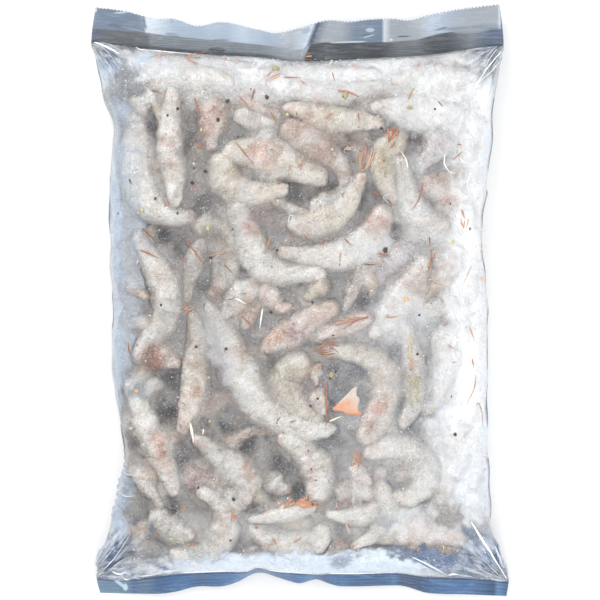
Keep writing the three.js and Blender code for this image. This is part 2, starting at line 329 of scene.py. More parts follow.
# Blushes on the flesh: stain, x, y, radius, strength.
BLUSHES = [
    ("pink", -18, 71, 8, .55), ("purple", -58, 70, 3.5, .4), ("orange", -64, 76, 5, .35),
    ("rust", 13, 75, 6, .35), ("pink", 35, 37, 8, .5), ("pink", -24, 36, 6, .45),
    ("pink", 72, 49, 8, .5), ("rust", -40, 6, 6, .4), ("purple", -59, 16, 4, .4),
    ("coral", -72, -28, 7, .95), ("tan", -66, 12, 5, .35), ("purple", -2, -17, 6, .6),
    ("tan", -11, -18, 7, .4), ("tan", -29, -28, 5, .4), ("tan", -50, -30, 4, .35),
    ("pink", -68, -68, 5, .55), ("orange", -66, -77, 5, .4), ("pink", -26, -80, 4, .5),
    ("purple", -57, -62, 4, .35), ("pink", 38, -53, 6, .55), ("orange", 22, -48, 5, .5),
    ("rust", 8, -42, 4, .4), ("coral", -14, -72, 4, .5), ("pink", 20, -117, 5, .4),
    ("pink", 74, -113, 4, .45), ("pink", -8, -5, 5, .35), ("orange", -24, 0, 4, .3),
    ("tan", 45, -18, 5, .4), ("orange", 52, -16, 4, .4), ("pink", 52, 9, 4, .25),
    ("tan", 75, 18, 5, .45), ("orange", 64, 90, 6, .3), ("pink", 30, 110, 4, .2),
    ("pink", -44, 88, 8, .5), ("orange", 32, -60, 5, .4), ("orange", -37, -107, 4, .4),
    ("orange", -33, -103, 3, .5), ("khaki", 42, 68, 7, .35), ("olive", -8, -35, 8, .25),
    ("khaki", 55, -40, 4, .7), ("khaki", 55, -47, 4, .7),
    ("tan", -34, -16, 3.5, .5), ("tan", -30, -24, 4, .6),
    ("tan", -28, -31, 3.5, .5), ("coral", -22, 40, 4, .35), ("coral", -23, 32, 4, .3),
    ("coral", 38, 34, 5, .3), ("coral", 4, -17, 4, .4), ("pink", -14, -14, 6, .45),
    ("coral", 34, -58, 5, .4), ("coral", 41, -47, 5, .35), ("orange", -50, -44, 4, .4),
    ("coral", -67, -72, 4, .5), ("coral", -69, -62, 4, .35), ("orange", -36, -113, 4, .35),
    ("orange", 60, 12, 5, .35), ("pink", -40, 2, 5, .4), ("orange", 28, 58, 5, .45),
    ("orange", -10, 72, 4, .35), ("orange", -30, 62, 4, .3), ("tan", 2, 66, 5, .35),
    ("orange", 2, 88, 4, .35), ("orange", -60, 78, 4, .3), ("tan", -62, 66, 4, .35),
    ("coral", -45, 76, 4, .4), ("orange", 56, 5, 5, .3), ("orange", 44, -2, 4, .3),
    ("pink", -6, -94, 4, .3), ("tan", 5, -84, 4, .35), ("orange", -24, -84, 4, .35),
]

# Thin shell plates seen flat: the stain at the foot, at the top, and the corners.
PLATES = [
    ("bright", "shell", [(15, -53), (29, -56), (27.5, -42), (26, -42)]),
    ("orange", "rust", [(-8.6, -101), (-5.4, -99), (-3.2, -96), (-4.8, -95)]),
    ("orange", "rust", [(-3.4, -98.6), (11, -100), (6, -97.6), (-0.4, -95.6)]),
    ("orange", "khaki", [(53, -34), (54.2, -34), (53.4, -16), (52.6, -16)]),
]

# Legs and feelers that lie on the flesh: stain, thickness, points. The white ones are painted glints.
SLIVERS = [
    ("brown", .7, [(-72, 101.5), (-66.5, 99.5)]),
    ("orange", .7, [(-65, 101), (-66, 96)]),
    ("rust", .9, [(-51, 98), (-48.5, 89), (-48.5, 86)]),
    ("orange", 1.3, [(-42, 94), (-41.5, 91.5)]),
    ("brown", .8, [(-22, 102), (-23.5, 96)]),
    ("rust", .6, [(-29.5, 98.5), (-26, 94.5)]),
    ("rust", .7, [(-31, 76), (-22, 65)]),
    ("dark", .8, [(-82.5, 58.5), (-81.5, 56)]),
    ("coral", .9, [(-65.5, 45), (-63.5, 49)]),
    ("rust", .6, [(-52, 57), (-48, 51)]),
    ("rust", 1, [(-50, 74), (-46, 74)]),
    ("rust", .9, [(-8, 107.5), (2, 107)]),
    ("orange", .8, [(0, 106), (3.5, 103.5)]),
    ("rust", .5, [(-9.5, 95), (-9, 92)]),
    ("rust", .8, [(-14, 90.5), (-12, 86.5)]),
    ("rust", .5, [(-2, 91), (-1, 87.5)]),
    ("tan", .7, [(6, 98), (10.5, 94.5)]),
    ("orange", .8, [(12.5, 87.5), (16, 90.5)]),
    ("coral", 1.2, [(18, 101), (24, 100), (29, 97.5)]),
    ("rust", .6, [(28, 90.5), (28.5, 86)]),
    ("rust", .9, [(42, 83), (45, 81)]),
    ("coral", 1, [(47, 84), (46.5, 77)]),
    ("rust", .8, [(46, 76), (43, 72.5)]),
    ("rust", .6, [(15.5, 110), (17, 105)]),
    ("brown", .7, [(-11, 55.5), (-7, 59)]),
    ("rust", .7, [(35, 52.5), (39, 50)]),
    ("brown", .8, [(42, 48.5), (45, 45)]),
    ("tan", .5, [(-5, 66), (-5.5, 60)]),
    ("orange", .8, [(52, 96.5), (55, 102.5)]),
    ("rust", .8, [(59, 57), (58, 50), (53.5, 42.5)]),
    ("brown", .7, [(66.5, 96), (69, 93)]),
    ("rust", .6, [(73.5, 67.5), (79, 72)]),
    ("rust", .6, [(76, 75), (78, 75)]),
    ("brown", .9, [(-76.5, 35), (-69, 28)]),
    ("rust", 1, [(-77.5, 24), (-73, 22.5), (-68, 20)]),
    ("rust", .9, [(-55, 29), (-49, 21), (-45.5, 17)]),
    ("orange", .6, [(-45, 21), (-31, 23.5)]),
    ("rust", .6, [(-36.5, 17), (-32, 12.5)]),
    ("rust", .6, [(-57.5, 21), (-54.5, 17.5)]),
    ("rust", .7, [(-28.5, -7.5), (-21, -14.5)]),
    ("brown", .8, [(-83, -20), (-82.5, -25), (-80, -29)]),
    ("orange", .8, [(-14, 31), (-17, 22)]),
    ("rust", .6, [(-6, 33), (-2.5, 28.5)]),
    ("rust", .6, [(-5, 27.5), (-1, 28.5)]),
    ("rust", .6, [(2, 31.5), (5, 27)]),
    ("rust", .6, [(10.5, 29), (11.5, 25)]),
    ("brown", .6, [(21, 30), (25, 26)]),
    ("orange", .5, [(19.5, 24), (19, 16)]),
    ("rust", .8, [(37.5, 22.5), (44, 21)]),
    ("brown", .7, [(31, 17), (37, 17)]),
    ("orange", .8, [(5, 8), (9, 9.5)]),
    ("rust", .6, [(-6.5, -22), (-5, -25)]),
    ("brown", .7, [(62.5, 30.5), (62.5, 26)]),
    ("orange", .9, [(62, 15), (63, 20)]),
    ("coral", .8, [(64.5, 20), (65, 23)]),
    ("tan", .5, [(83, 17), (79, 8)]),
    ("orange", 1, [(78, 44), (79.5, 39)]),
    ("coral", .6, [(68.5, -12.5), (72, -11)]),
    ("orange", .6, [(81.5, -12), (84.5, -20)]),
    ("coral", .5, [(71, -21.5), (75, -24)]),
    ("coral", .5, [(73, -30), (76, -30)]),
    ("orange", .8, [(83, -28), (84, -33)]),
    ("khaki", .4, [(53.5, -37), (52.6, -44), (54, -51), (57, -54)]),
    ("khaki", .4, [(56, -36), (57, -43), (57.4, -50)]),
    ("orange", .6, [(85, -36), (84, -43), (80, -51)]),
    ("orange", .9, [(43, -8.5), (47, -8)]),
    ("cream", 1.6, [(-53, -59), (-51, -69)]),
    ("cream", .9, [(-46.5, -62), (-46.8, -65)]),
    ("coral", .8, [(-26, -55.8), (-23.5, -55.5)]),
    ("rust", .9, [(13, -39), (12.8, -50), (12.5, -62)]),
    ("cream", 1, [(14, -58.5), (20, -56)]),
    ("tan", .7, [(-3.5, -72), (0, -70.5)]),
    ("coral", .9, [(26, -72), (28.5, -76), (28, -81)]),
    ("coral", .6, [(85, -52), (86, -49), (88, -55), (88, -62)]),
    ("coral", .9, [(-57.5, -102), (-56, -99)]),
    ("rust", .8, [(-54, -119), (-51, -117.6), (-48.5, -117.5)]),
    ("orange", .8, [(-33, -107), (-32, -100)]),
    ("pink", .8, [(22, -107.5), (24, -113)]),
    ("orange", .8, [(-3, -117), (1, -114.5)]),
    ("orange", .8, [(-13, -115), (-11, -118)]),
    ("white", .8, [(-31, 1), (-26, -2)]),
    ("white", .8, [(-18, -4), (-19.5, -14)]),
]

# Torn shells and tail fans: stain, where the blades spring from, the way they point
# in degrees from +X, their length, how wide they fan out in degrees, how many.
SHELLS = [
    ("rust", (6, -25), 20, 12, 50, 7), ("coral", (12, -21), -10, 8, 60, 5),
    ("coral", (30, 61), 78, 15, 26, 5),
    ("rust", (-8, -100), 16, 18, 12, 2), ("rust", (28, -71), -95, 10, 40, 5),
    ("coral", (62, 14), 75, 14, 24, 4), ("orange", (79, 32), 95, 9, 40, 5),
    ("khaki", (-19, 106), 20, 11, 50, 7),
    ("coral", (33, -8), -165, 18, 14, 4), ("rust", (-57, -5), 20, 6, 60, 5),
    ("coral", (43, 76), 70, 9, 40, 5),
    ("cream", (48, 72), -75, 10, 10, 2), ("white", (21, 73), 10, 5, 30, 3),
    ("rust", (-57, 118), -15, 12, 50, 4), ("khaki", (-38, 110), -20, 7, 60, 3),
    ("coral", (2.6, 118), 15, 4, 30, 2),
]

# Eye spots and bits: stain, x, y, radius.
SPECKS = [
    ("dark", -59, 92.2, 1), ("dark", -63.8, 89, .9), ("dark", -35, 96, 1.1), ("dark", -39.5, 87, 1.3),
    ("dark", -45.5, 62, 1), ("dark", -52, 56.5, 1), ("dark", -51, 63.5, .8), ("dark", -69.7, 49, .8),
    ("dark", -59, 41.7, .8), ("dark", -87.8, 41.7, .7), ("dark", -16, 97.5, 1.2),
    ("dark", 39.2, 82.7, .8),
    ("dark", 21, 98, .8), ("dark", 65, 92, .8), ("dark", 41, 24, 1.5), ("dark", -11, 24, 1),
    ("dark", -43, 20.5, 1), ("dark", -32.5, 34, .8), ("dark", 6, -1, .9), ("dark", 57.5, -7.2, .9),
    ("dark", -50, -22.5, .8), ("dark", -35.5, -23.5, 1.1), ("dark", -67, -2.5, .8),
    ("dark", 72.5, 46.5, .8), ("dark", 82, 34.5, .8), ("dark", 56.6, -26, .8), ("dark", 75, -65, 1),
    ("dark", -32, -96, 1.1), ("dark", -49, -90.5, .7), ("dark", -14, -6, .9), ("dark", 16, -17, .6),
    ("dark", 8.5, -47.5, .7), ("dark", 5, -51, .7), ("dark", 14.5, -37.5, 1), ("dark", 17, -34.5, .8),
    ("dark", -33.5, -116, .8), ("rust", -21, -109.5, .9), ("dark", -60, -56, 1),
    ("orange", -43.5, -46.5, .9), ("orange", -46, -79, .8), ("dark", 6, -98.5, .8),
    ("dark", 61, -125, .5), ("dark", 73, -46.5, .6), ("dark", -30, 78.5, .6), ("brown", 26, 66.5, .9),
    ("khaki", -32.5, 62.5, 1), ("yellow", -44.5, 34.5, 1.2), ("yellow", -76, 43.5, .9),
    ("yellow", -78, 42, .8), ("khaki", -47.5, 82, 1), ("olive", 53, 92.5, 1.6), ("olive", 22, 98.5, 2),
    ("olive", -12, 111.5, 2), ("yellow", -6, 89.5, 1.2), ("khaki", -10.5, 48, 1.1),
    ("amber", 51, 0.5, 1.2), ("olive", 42, -8, 1.3), ("yellow", 73.5, 28, 1.3), ("olive", 15, -36, 1.8),
    ("lime", -62, -115, .8), ("lime", -59, -116.5, .6), ("lime", -56.5, -117, .5),
    ("lime", -54, -118, .5), ("olive", -43.5, -58.5, .9), ("tan", 54, 47, .8),
    ("khaki", 64, -52, .8), ("tan", -79, -44, 1.5), ("coral", -31.5, -104.5, 1.2),
]

# Wet rims where the film touches a tip or traps a bubble, made as white rings that are painted
# highlights: x, y, radius.
WET_RIM_HIGHLIGHTS = [
    (43, 49, 2.4), (8.5, 47, 1.4), (11.5, 47.5, 1.4), (-13.5, 72, 1.6), (4, 64, 1.5),
    (-71.5, 98, 1.6), (10, -50, 2.2),
    (-4, 39, 1.6), (23, 72, 1.6), (49, 66, 1.5), (88, -116, 1.4),
]

# Fields of colour in the film: tone, x, y, half-width, half-height, turn in
# degrees, strength. The film is whitish over frost. The white fields on the right
# are frost and painted light, the ash fields on the left are painted shade, and
# the pale, bluish, slate and dark fields at the edges, corners and foot, with the
# thin white line there, are painted reflections, highlights and shade of the
# slack film.
VEILS_AND_PAINTED_LIGHT = [
    ("frost", 0, 113, 84, 12, 0, .42), ("frost", 20, 104, 60, 8, 3, .3),
    ("white", 90, 10, 22, 100, 0, .7), ("white", 78, 96, 24, 20, 0, .5),
    ("white", 76, -60, 16, 50, 0, .45), ("white", 60, 30, 10, 20, 30, .25),
    ("milk", 84, -92, 12, 20, 0, .5), ("frost", 62, -108, 24, 10, 0, .4),
    ("pale", -10, -129, 66, 8, 1, .92), ("pale", 36, -128.5, 34, 7.5, 0, .88),
    ("milk", 44, -50, 34, 66, 0, .13), ("frost", -34, -28, 9, 26, 28, .3),
    ("ash", -47, 20, 13, 76, 4, .27), ("ash", -34, 42, 13, 22, 0, .15),
    ("ash", -62, -14, 12, 16, 0, .24), ("ash", -40, -80, 28, 14, 0, .15),
    ("frost", -12, -109, 62, 8, 0, .16), ("frost", 34, 26, 12, 9, 20, .35),
    ("haze", -94, 40, 8, 62, 0, .9), ("haze", -93, -30, 8, 50, 0, .9),
    ("haze", -92, -92, 9, 26, 0, .9), ("mist", -84, 30, 9, 80, 0, .4),
    ("mist", -96, 112, 9, 10, 0, .85), ("milk", -72, 113, 14, 7, 0, .3),
    ("pale", 94, 30, 5, 80, 0, .9), ("pale", 93, -60, 5, 60, 0, .9),
    ("steel", 95, -124, 7, 14, 25, .95), ("slate", 80, -129, 18, 8, -8, .95),
    ("deep", 64, -124.5, 16, 3.6, -18, .97), ("slate", 48, -121.5, 8, 2.2, -8, .95),
    ("ash", 72, -103.5, 8, 5, -38, .8), ("slate", 82, -112.5, 6, 3, -45, .85),
    ("mist", 82, -119, 6, 3.4, -25, .8), ("slate", 20, -126.5, 7, 3.5, 12, .7),
    ("grey", 42, -108, 5, 4, 0, .5), ("smoke", -84, 104, 9, 10, -30, .95),
    ("grey", -78, -43, 5, 5, 0, .6), ("smoke", -74, -124, 11, 5, -22, .6),
    ("deep", -65, -128.5, 7, 1.8, -14, .95), ("slate", -88, -131.5, 12, 4, -12, .95),
    ("steel", -93, -124, 8, 11, -35, .9), ("soot", -79, -105, 3, 2, 50, .8),
    ("mist", -86, -110, 6, 5, 40, .6), ("slate", -72, -111, 5, 2, 40, .6),
    ("haze", -84, -90, 4, 10, 0, .5), ("slate", -80, 122, 3, 1.4, 0, .9),
    ("mist", -76, 116.5, 6, 3.2, 20, .8), ("white", -30, -130.8, 44, 0.8, 1.5, .4),
    ("silver", 88, 117, 8, 4, 10, .6), ("storm", -99, 114, 3, 9, 0, .8),
    ("mist", 34, -130.5, 44, 2.4, 0, .5), ("mist", -44, -131, 30, 2, 0, .4),
    ("haze", -88, 92, 5, 8, 0, .5), ("haze", -90, -108, 6, 10, 0, .5),
    ("white", 50, -8, 14, 16, 30, .34), ("white", 56, 92, 16, 12, 0, .4),
    ("frost", 54, 56, 14, 16, 0, .2),
    ("haze", -91, 116, 6, 6, 0, .4),
]

# The bag's corners, from which the slack film is pleated: x, y, reach, height.
CORNERS = [
    (-101, -134, 34, 0.75), (101, -136, 30, 0.5), (-101, 125, 22, 0.4), (98, 124, 26, 0.4),
]

# Creases of doubled film: tone, half-width, height, points. Their tones are painted highlights and
# reflections, the darker ones painted shade.
CREASES = [
    ("white", .6, .5, [(-99.8, 125), (-93.5, 122.4), (-87.2, 119)]),
    ("white", .35, .3, [(-80, 122.8), (-77.4, 121.2), (-73, 120.8)]),
    ("frost", .35, .3, [(-73, 121), (-62, 119.8), (-50, 119)]),
    ("white", .3, .35, [(98, 121), (92, 114), (87, 107), (83, 100)]),
    ("frost", .2, .25, [(97, 116), (92, 110), (84, 104.4), (74, 101.6)]),
    ("silver", .3, .35, [(98, 118), (94, 107), (91, 98)]),
    ("white", .6, .8, [
        (82.6, -107), (86, -112.6), (88.6, -116.8), (91.4, -121), (95, -127), (98, -131.6),
        (100.4, -135.6)]),
    ("steel", .4, .5, [(89.4, -120.6), (92.2, -126), (96, -130.8)]),
    ("pale", .4, .5, [(94, -118.6), (96.8, -125), (98.6, -130)]),
    ("milk", .4, .5, [(54, -124), (61, -127.4), (66, -130), (71, -133)]),
    ("slate", .4, .3, [(55, -125), (61.4, -128.6), (66, -131.4)]),
    ("white", .5, .4, [(71.6, -133), (74, -132.4), (77, -132.8)]),
    ("mist", .3, .3, [(91.6, -133.4), (94.6, -135.6), (97.6, -136), (100, -135.4)]),
    ("white", .4, .4, [(-91, -131.4), (-87.4, -132.6), (-84, -131.6)]),
    ("milk", .4, .4, [(-78.4, -133.6), (-72.4, -133), (-67, -131.6)]),
    ("pale", .4, .4, [(-66, -131.4), (-62, -130.8), (-57, -130.8)]),
    ("white", .5, .4, [(-85, -134.8), (-84, -135.2), (-83, -135.4)]),
    ("pale", .22, .3, [(-85.4, -83), (-83, -84.4), (-79, -84.6)]),
    ("storm", .22, .3, [(-86, -87.6), (-83.4, -88.6), (-80, -88.4)]),
    ("pale", .22, .3, [(-87.4, -93), (-84, -94.8), (-80, -94.6)]),
    ("storm", .22, .3, [(-88.4, -99), (-85, -101.4), (-80, -101.8)]),
    ("white", .45, .3, [(-57, -131.8), (-44, -131.2), (-28, -131.1)]),
    ("white", .45, .3, [(-15, -130.8), (-4, -131.6), (6, -132.4)]),
    ("white", .45, .3, [(14, -132.2), (30, -132.2), (46, -131.8)]),
    ("white", .3, .3, [(70, 71), (69.6, 66), (72, 62), (75, 61)]),
    ("white", .25, .3, [(77, 69), (79, 66.6), (82, 66)]),
    ("white", .25, .3, [(82.4, 62), (81, 57), (80.6, 53)]),
]

# Fans of fine creases out of the corners: corner x and y, the angles between which
# they lie in degrees up from straight across the bag, how many, how far they reach.
FANS = [
    (-100, -136.5, 18, 58, 4, 36), (100, -137, 24, 68, 3, 26), (-100, 127, -60, -18, 2, 20),
    (98, 126, -66, -28, 3, 24),
]

# Where the folded edge shows as a dark line: side (1 for the right), first y, last y.
EDGE_LINES = [
    (1, 98, 62), (1, 54, 34), (1, 28, 4), (1, -4, -34), (1, -40, -70), (1, -76, -106),
    (-1, 60, 20), (-1, 4, -14), (-1, -60, -76), (-1, 118, 100),
]


def linear(colour):
    """A colour of 0 to 255 as the eye sees it, as linear light with an alpha of 1."""
    share = np.array(colour, float) / 255
    light = np.where(share > 0.04045, ((share + 0.055) / 1.055) ** 2.4, share / 12.92)
    return (*light, 1.0)


def toned(tone):
    """A film tone as linear light."""
    return linear(FILM_TONES[tone])


def laid_over(colours, tint, share):
    """Linear colours with a share of a tint over them."""
    return colours * (1 - share) + np.array(tint[:3]) * share


def ease(value, low, high):
    """A smooth step from 0 at low to 1 at high."""
    share = np.clip((value - low) / (high - low), 0, 1)
    return share * share * (3 - 2 * share)


def curve_through(points):
    """A smooth curve through points sorted by their first number, for arrays."""
    at, value = np.array(points, float).T
    numbers = np.arange(len(at))
    before = np.maximum(numbers - 1, 0)
    after = np.minimum(numbers + 1, len(at) - 1)
    slope = (value[after] - value[before]) / (at[after] - at[before])

    def curve(x):
        i = np.clip(np.searchsorted(at, x) - 1, 0, len(at) - 2)
        span = at[i + 1] - at[i]
        t = np.clip((x - at[i]) / span, 0, 1)
        leaving = t * (1 - t) ** 2 * span * slope[i]
        arriving = t * t * (t - 1) * span * slope[i + 1]
        return value[i] + (value[i + 1] - value[i]) * ease(t, 0, 1) + leaving + arriving

    return curve


left_edge = curve_through(LEFT_EDGE)
right_edge = curve_through(RIGHT_EDGE)
top_lip = curve_through(TOP_LIP)
top_seal = curve_through(TOP_SEAL)
bottom_seal = curve_through(BOTTOM_SEAL)
bottom_lip = curve_through(BOTTOM_LIP)


def fullness(place, powers):
    """How full a rounded section is at a place from -1 to 1 across it."""
    squareness, shoulder = powers
    return np.maximum(1 - np.abs(place) ** squareness, 0) ** (1 / shoulder)


def crowded(even):
    """Places from -1 to 1, drawn together towards both ends."""
    return even + (np.sin(even * np.pi / 2) - even) * EDGE_CROWDING


def pillow(across, along, front):
    """Points of the filled bag in millimetres. Across and along run from -1 to 1."""
    def row_y(x):
        return bottom_seal(x) + (top_seal(x) - bottom_seal(x)) * (along + 1) / 2

    left = left_edge(row_y(-CORNER_X))
    right = right_edge(row_y(CORNER_X))
    x = left + (right - left) * (across + 1) / 2
    lengthwise = fullness(along, ALONG)
    side = SEAL_HEIGHT + (SIDE_HEIGHT - SEAL_HEIGHT) * lengthwise
    rise = fullness(across, FRONT_ACROSS) * lengthwise
    sink = np.minimum(fullness(across, BACK_ACROSS) * lengthwise / RESTING_SHARE, 1)
    over = side + (DOME_HEIGHT - side) * rise + LUMP_HEIGHT * ease(rise, 0.05, 0.5)
    return np.stack([x, row_y(x), np.where(front, over, side * (1 - sink))], axis=-1)


def spline(points, count):
    """Evenly spaced places on a smooth curve through some points."""
    known = np.array(points, float)
    ends = (2 * known[0] - known[1], 2 * known[-1] - known[-2])
    padded = np.vstack([ends[0], known, ends[1]])
    steps = np.linspace(0, 1, 12, endpoint=False)[:, None]
    pieces = []
    for a, b, c, d in zip(padded, padded[1:], padded[2:], padded[3:]):
        pull = (c - a) * steps + (2 * a - 5 * b + 4 * c - d) * steps ** 2
        pieces.append(b + (pull + (3 * b - 3 * c + d - a) * steps ** 3) / 2)
    fine = np.vstack([*pieces, known[-1]])
    walked = np.append(0, np.cumsum(np.linalg.norm(np.diff(fine, axis=0), axis=1)))
    places = np.linspace(0, walked[-1], count)
    return np.stack([np.interp(places, walked, line) for line in fine.T], axis=-1)


def unit(rows):
    """Each row of numbers, scaled to a length of 1."""
    return rows / np.maximum(np.linalg.norm(rows, axis=-1, keepdims=True), 1e-9)


def unevenness(points, size, seed):
    """Soft lumps from about -1 to 1, of some size, at points of the same unit."""
    draw = np.random.default_rng(seed)
    ways = unit(draw.normal(size=(9, 3))) * 2 * np.pi / size * draw.uniform(0.6, 1.5, (9, 1))
    waves = np.sin(np.asarray(points) @ ways.T + draw.uniform(0, 2 * np.pi, 9))
    return waves.sum(axis=-1) / 3


def field(x, y, middle_x, middle_y, half_width, half_height, turn=0, rim=(0.55, 1.25)):
    """1 in the middle of an oval field, falling smoothly to 0 over its rim."""
    angle = np.radians(turn)
    dx = x - middle_x
    dy = y - middle_y
    u = (dx * np.cos(angle) + dy * np.sin(angle)) / half_width
    v = (dy * np.cos(angle) - dx * np.sin(angle)) / half_height
    return 1 - ease(np.hypot(u, v), *rim)


def frost_and_light_at(x, y):
    """How frosted the filling is at a place: most at its top, its right and its foot. The whitening on
    the right is partly painted light.
    """
    top = ease(y, 88, 108)
    right = ease(x, 56, 78) * ease(y, -110, -70)
    foot = ease(-y, 114, 128)
    speckled = 0.25 * field(x, y, 30, 25, 16, 12) + 0.3 * field(x, y, 60, -110, 24, 10)
    bright = 0.35 * field(x, y, -34, -28, 9, 26, 28)
    return np.clip(0.22 + 0.6 * top + 0.5 * right + 0.5 * foot + speckled + bright, 0, 1)


# Meshes and materials.

def mesh_of(bm, name):
    """Turns a bmesh into a mesh, and frees it."""
    mesh = bpy.data.meshes.new(name)
    bm.to_mesh(mesh)
    bm.free()
    return mesh


def finish_piece(bm, name, material):
    """Makes a bmesh an object that rides on the bag and stands for its solid."""
    mesh = mesh_of(bm, name)
    mesh.polygons.foreach_set("use_smooth", [True] * len(mesh.polygons))
    mesh.materials.append(material)
    piece = bpy.data.objects.new(name, mesh)
    bpy.context.scene.collection.objects.link(piece)
    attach(piece, BODY)
    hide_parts(BAG)
    return piece


def places_of(mesh):
    """The places of a mesh's vertices, in millimetres."""
    flat = np.empty(len(mesh.vertices) * 3)
    mesh.vertices.foreach_get("co", flat)
    return flat.reshape(-1, 3) / MM


def paint(mesh, name, values):
    """Stores a number or a linear colour for each vertex, for the materials to read."""
    values = np.asarray(values, float)
    if values.ndim == 1:
        layer = mesh.attributes.new(name, "FLOAT", "POINT")
        layer.data.foreach_set("value", values)
        return
    layer = mesh.attributes.new(name, "FLOAT_COLOR", "POINT")
    layer.data.foreach_set("color", values.ravel())


def tree_of(*names):
    """A search tree of some pieces' surfaces, in metres."""
    bm = bmesh.new()
    for name in names:
        bm.from_mesh(bpy.data.objects[name].data)
    tree = BVHTree.FromBMesh(bm)
    bm.free()
    return tree


def skin(around, rows):
    """A closed pillow as a bmesh, and its places as an array of rows, in millimetres."""
    bm = bmesh.new()
    bmesh.ops.create_grid(bm, x_segments=around, y_segments=rows, size=1)
    flat = np.array([v.co for v in bm.verts])
    turn = (flat[:, 0] + 1) / 2
    even = np.where(turn < 0.5, 4 * turn - 1, 3 - 4 * turn)
    places = pillow(crowded(np.clip(even, -1, 1)), crowded(flat[:, 1]), turn < 0.5)
    return bm, places.reshape(rows + 1, around + 1, 3)


def set_places(bm, places):
    """Moves a bmesh's vertices, in their order, to places in millimetres."""
    for vertex, place in zip(bm.verts, places.reshape(-1, 3) * MM):
        vertex.co = place


def close(bm):
    """Joins the seams of a skin and drops the slivers that this leaves."""
    bmesh.ops.remove_doubles(bm, verts=bm.verts, dist=0.01 * MM)
    bmesh.ops.dissolve_degenerate(bm, edges=bm.edges, dist=0.005 * MM)


class Recipe:
    """A node material that is put together one node at a time."""

    def __init__(self, name):
        self.material = bpy.data.materials.new(name)
        self.material.use_nodes = True
        self.tree = self.material.node_tree
        self.tree.nodes.clear()
        self.place = self.node("TexCoord").outputs["Object"]

    def feed(self, socket, value):
        if isinstance(value, bpy.types.NodeSocket):
            self.tree.links.new(value, socket)
        else:
            socket.default_value = value

    def node(self, kind, settings=None, **inputs):
        node = self.tree.nodes.new("ShaderNode" + kind)
        for name, value in (settings or {}).items():
            setattr(node, name, value)
        for name, value in inputs.items():
            self.feed(node.inputs[name.replace("_", " ")], value)
        return node

    def attribute(self, name, output="Fac"):
        return self.node("Attribute", {"attribute_name": name}).outputs[output]

    def noise(self, scale, detail=3.0, roughness=0.55, distortion=0.0):
        node = self.node("TexNoise", Vector=self.place, Scale=scale, Detail=detail,
                         Roughness=roughness, Distortion=distortion)
        return node.outputs["Fac"]

    def spread(self, value, low, high, to_low=0.0, to_high=1.0):
        """Value, taken from between low and high to between two other numbers."""
        node = self.node("MapRange", {"clamp": True}, Value=value, From_Min=low, From_Max=high,
                         To_Min=to_low, To_Max=to_high)
        return node.outputs["Result"]

    def math(self, operation, first, second):
        node = self.node("Math", {"operation": operation})
        self.feed(node.inputs[0], first)
        self.feed(node.inputs[1], second)
        return node.outputs[0]

    def mix(self, share, first, second, blend="MIX"):
        node = self.node("Mix", {"data_type": "RGBA", "blend_type": blend})
        self.feed(node.inputs[0], share)
        self.feed(node.inputs[6], first)
        self.feed(node.inputs[7], second)
        return node.outputs[2]

    def bump(self, height, distance):
        node = self.node("Bump", Height=height, Distance=distance, Strength=1.0)
        return node.outputs["Normal"]

    def finish(self, surface):
        output = self.node("OutputMaterial")
        self.tree.links.new(surface, output.inputs["Surface"])
        return self.material


def flesh_material(name, frost_colour, fog_and_shade_colour, glaze):
    """Raw flesh under frosted ice: mottled, grainy, softly translucent, hoary at its rims. Its deeper
    parts fade into cloudy ice and painted shade.
    """
    recipe = Recipe(name)
    white = linear(frost_colour)
    tone = recipe.attribute("tone", "Color")
    frost = recipe.attribute("frost")
    cloud = recipe.noise(CLOUD_SCALE, 5, 0.62, 0.8)
    mottle = recipe.noise(MOTTLE_SCALE, 4, 0.6)
    grain = recipe.noise(GRAIN_SCALE, 2, 0.6)
    shade = recipe.math("ADD", recipe.spread(mottle, 0.3, 0.7, 0.41, 0.61),
                        recipe.spread(cloud, 0.35, 0.65, 0.43, 0.58))
    grey = recipe.node("CombineColor", Red=shade, Green=shade, Blue=shade).outputs[0]
    even = recipe.mix(1.0, tone, grey, "MULTIPLY")
    wash = recipe.spread(recipe.noise(WASH_SCALE, 5, 0.65, 1.2), 0.52, 0.68, 0, 0.3)
    washed = recipe.mix(wash, even, linear(STAINS["tan"]))
    rosy = recipe.spread(recipe.noise(38, 4, 0.6, 0.6), 0.54, 0.7, 0, 0.2)
    mottled = recipe.mix(rosy, washed, linear(STAINS["pink"]))
    hoar = recipe.math("MULTIPLY", recipe.spread(cloud, 0.46, 0.6),
                       recipe.spread(frost, 0, 1, 0.36, 0.8))
    frosted = recipe.mix(hoar, mottled, white)
    speckle = recipe.math("MULTIPLY", recipe.spread(grain, 0.52, 0.64),
                          recipe.spread(mottle, 0.35, 0.6, 0.15, 0.75))
    pitted = recipe.mix(recipe.spread(grain, 0.44, 0.34, 0, 0.32), frosted, (0.2, 0.18, 0.17, 1))
    speckled = recipe.mix(speckle, pitted, white)
    patches = recipe.spread(recipe.noise(60, 3), 0.35, 0.65)
    # Painted shade and cloudy ice, which deep flesh fades into
    shadow = recipe.mix(patches, linear(fog_and_shade_colour), linear(DEEP_ICE_AND_SHADE))
    shaded_murk = recipe.mix(recipe.spread(frost, 0.3, 1, 0, 0.8), shadow, white)
    colour = recipe.mix(recipe.attribute("fog_and_shade"), speckled, shaded_murk)
    height = recipe.math("ADD", recipe.math("MULTIPLY", grain, 0.3),
                         recipe.math("ADD", mottle, cloud))
    shader = recipe.node(
        "BsdfPrincipled",
        Base_Color=colour,
        Roughness=recipe.spread(grain, 0.4, 0.65, 0.5, 0.75),
        Normal=recipe.bump(height, 0.002),
        Subsurface_Weight=0.2,
        Subsurface_Radius=(1.0, 0.75, 0.6),
        Subsurface_Scale=0.0025,
        Coat_Weight=glaze,
        Coat_Roughness=0.25,
        Sheen_Weight=0.35,
        Sheen_Roughness=0.45,
    )
    return recipe.finish(shader.outputs[0])


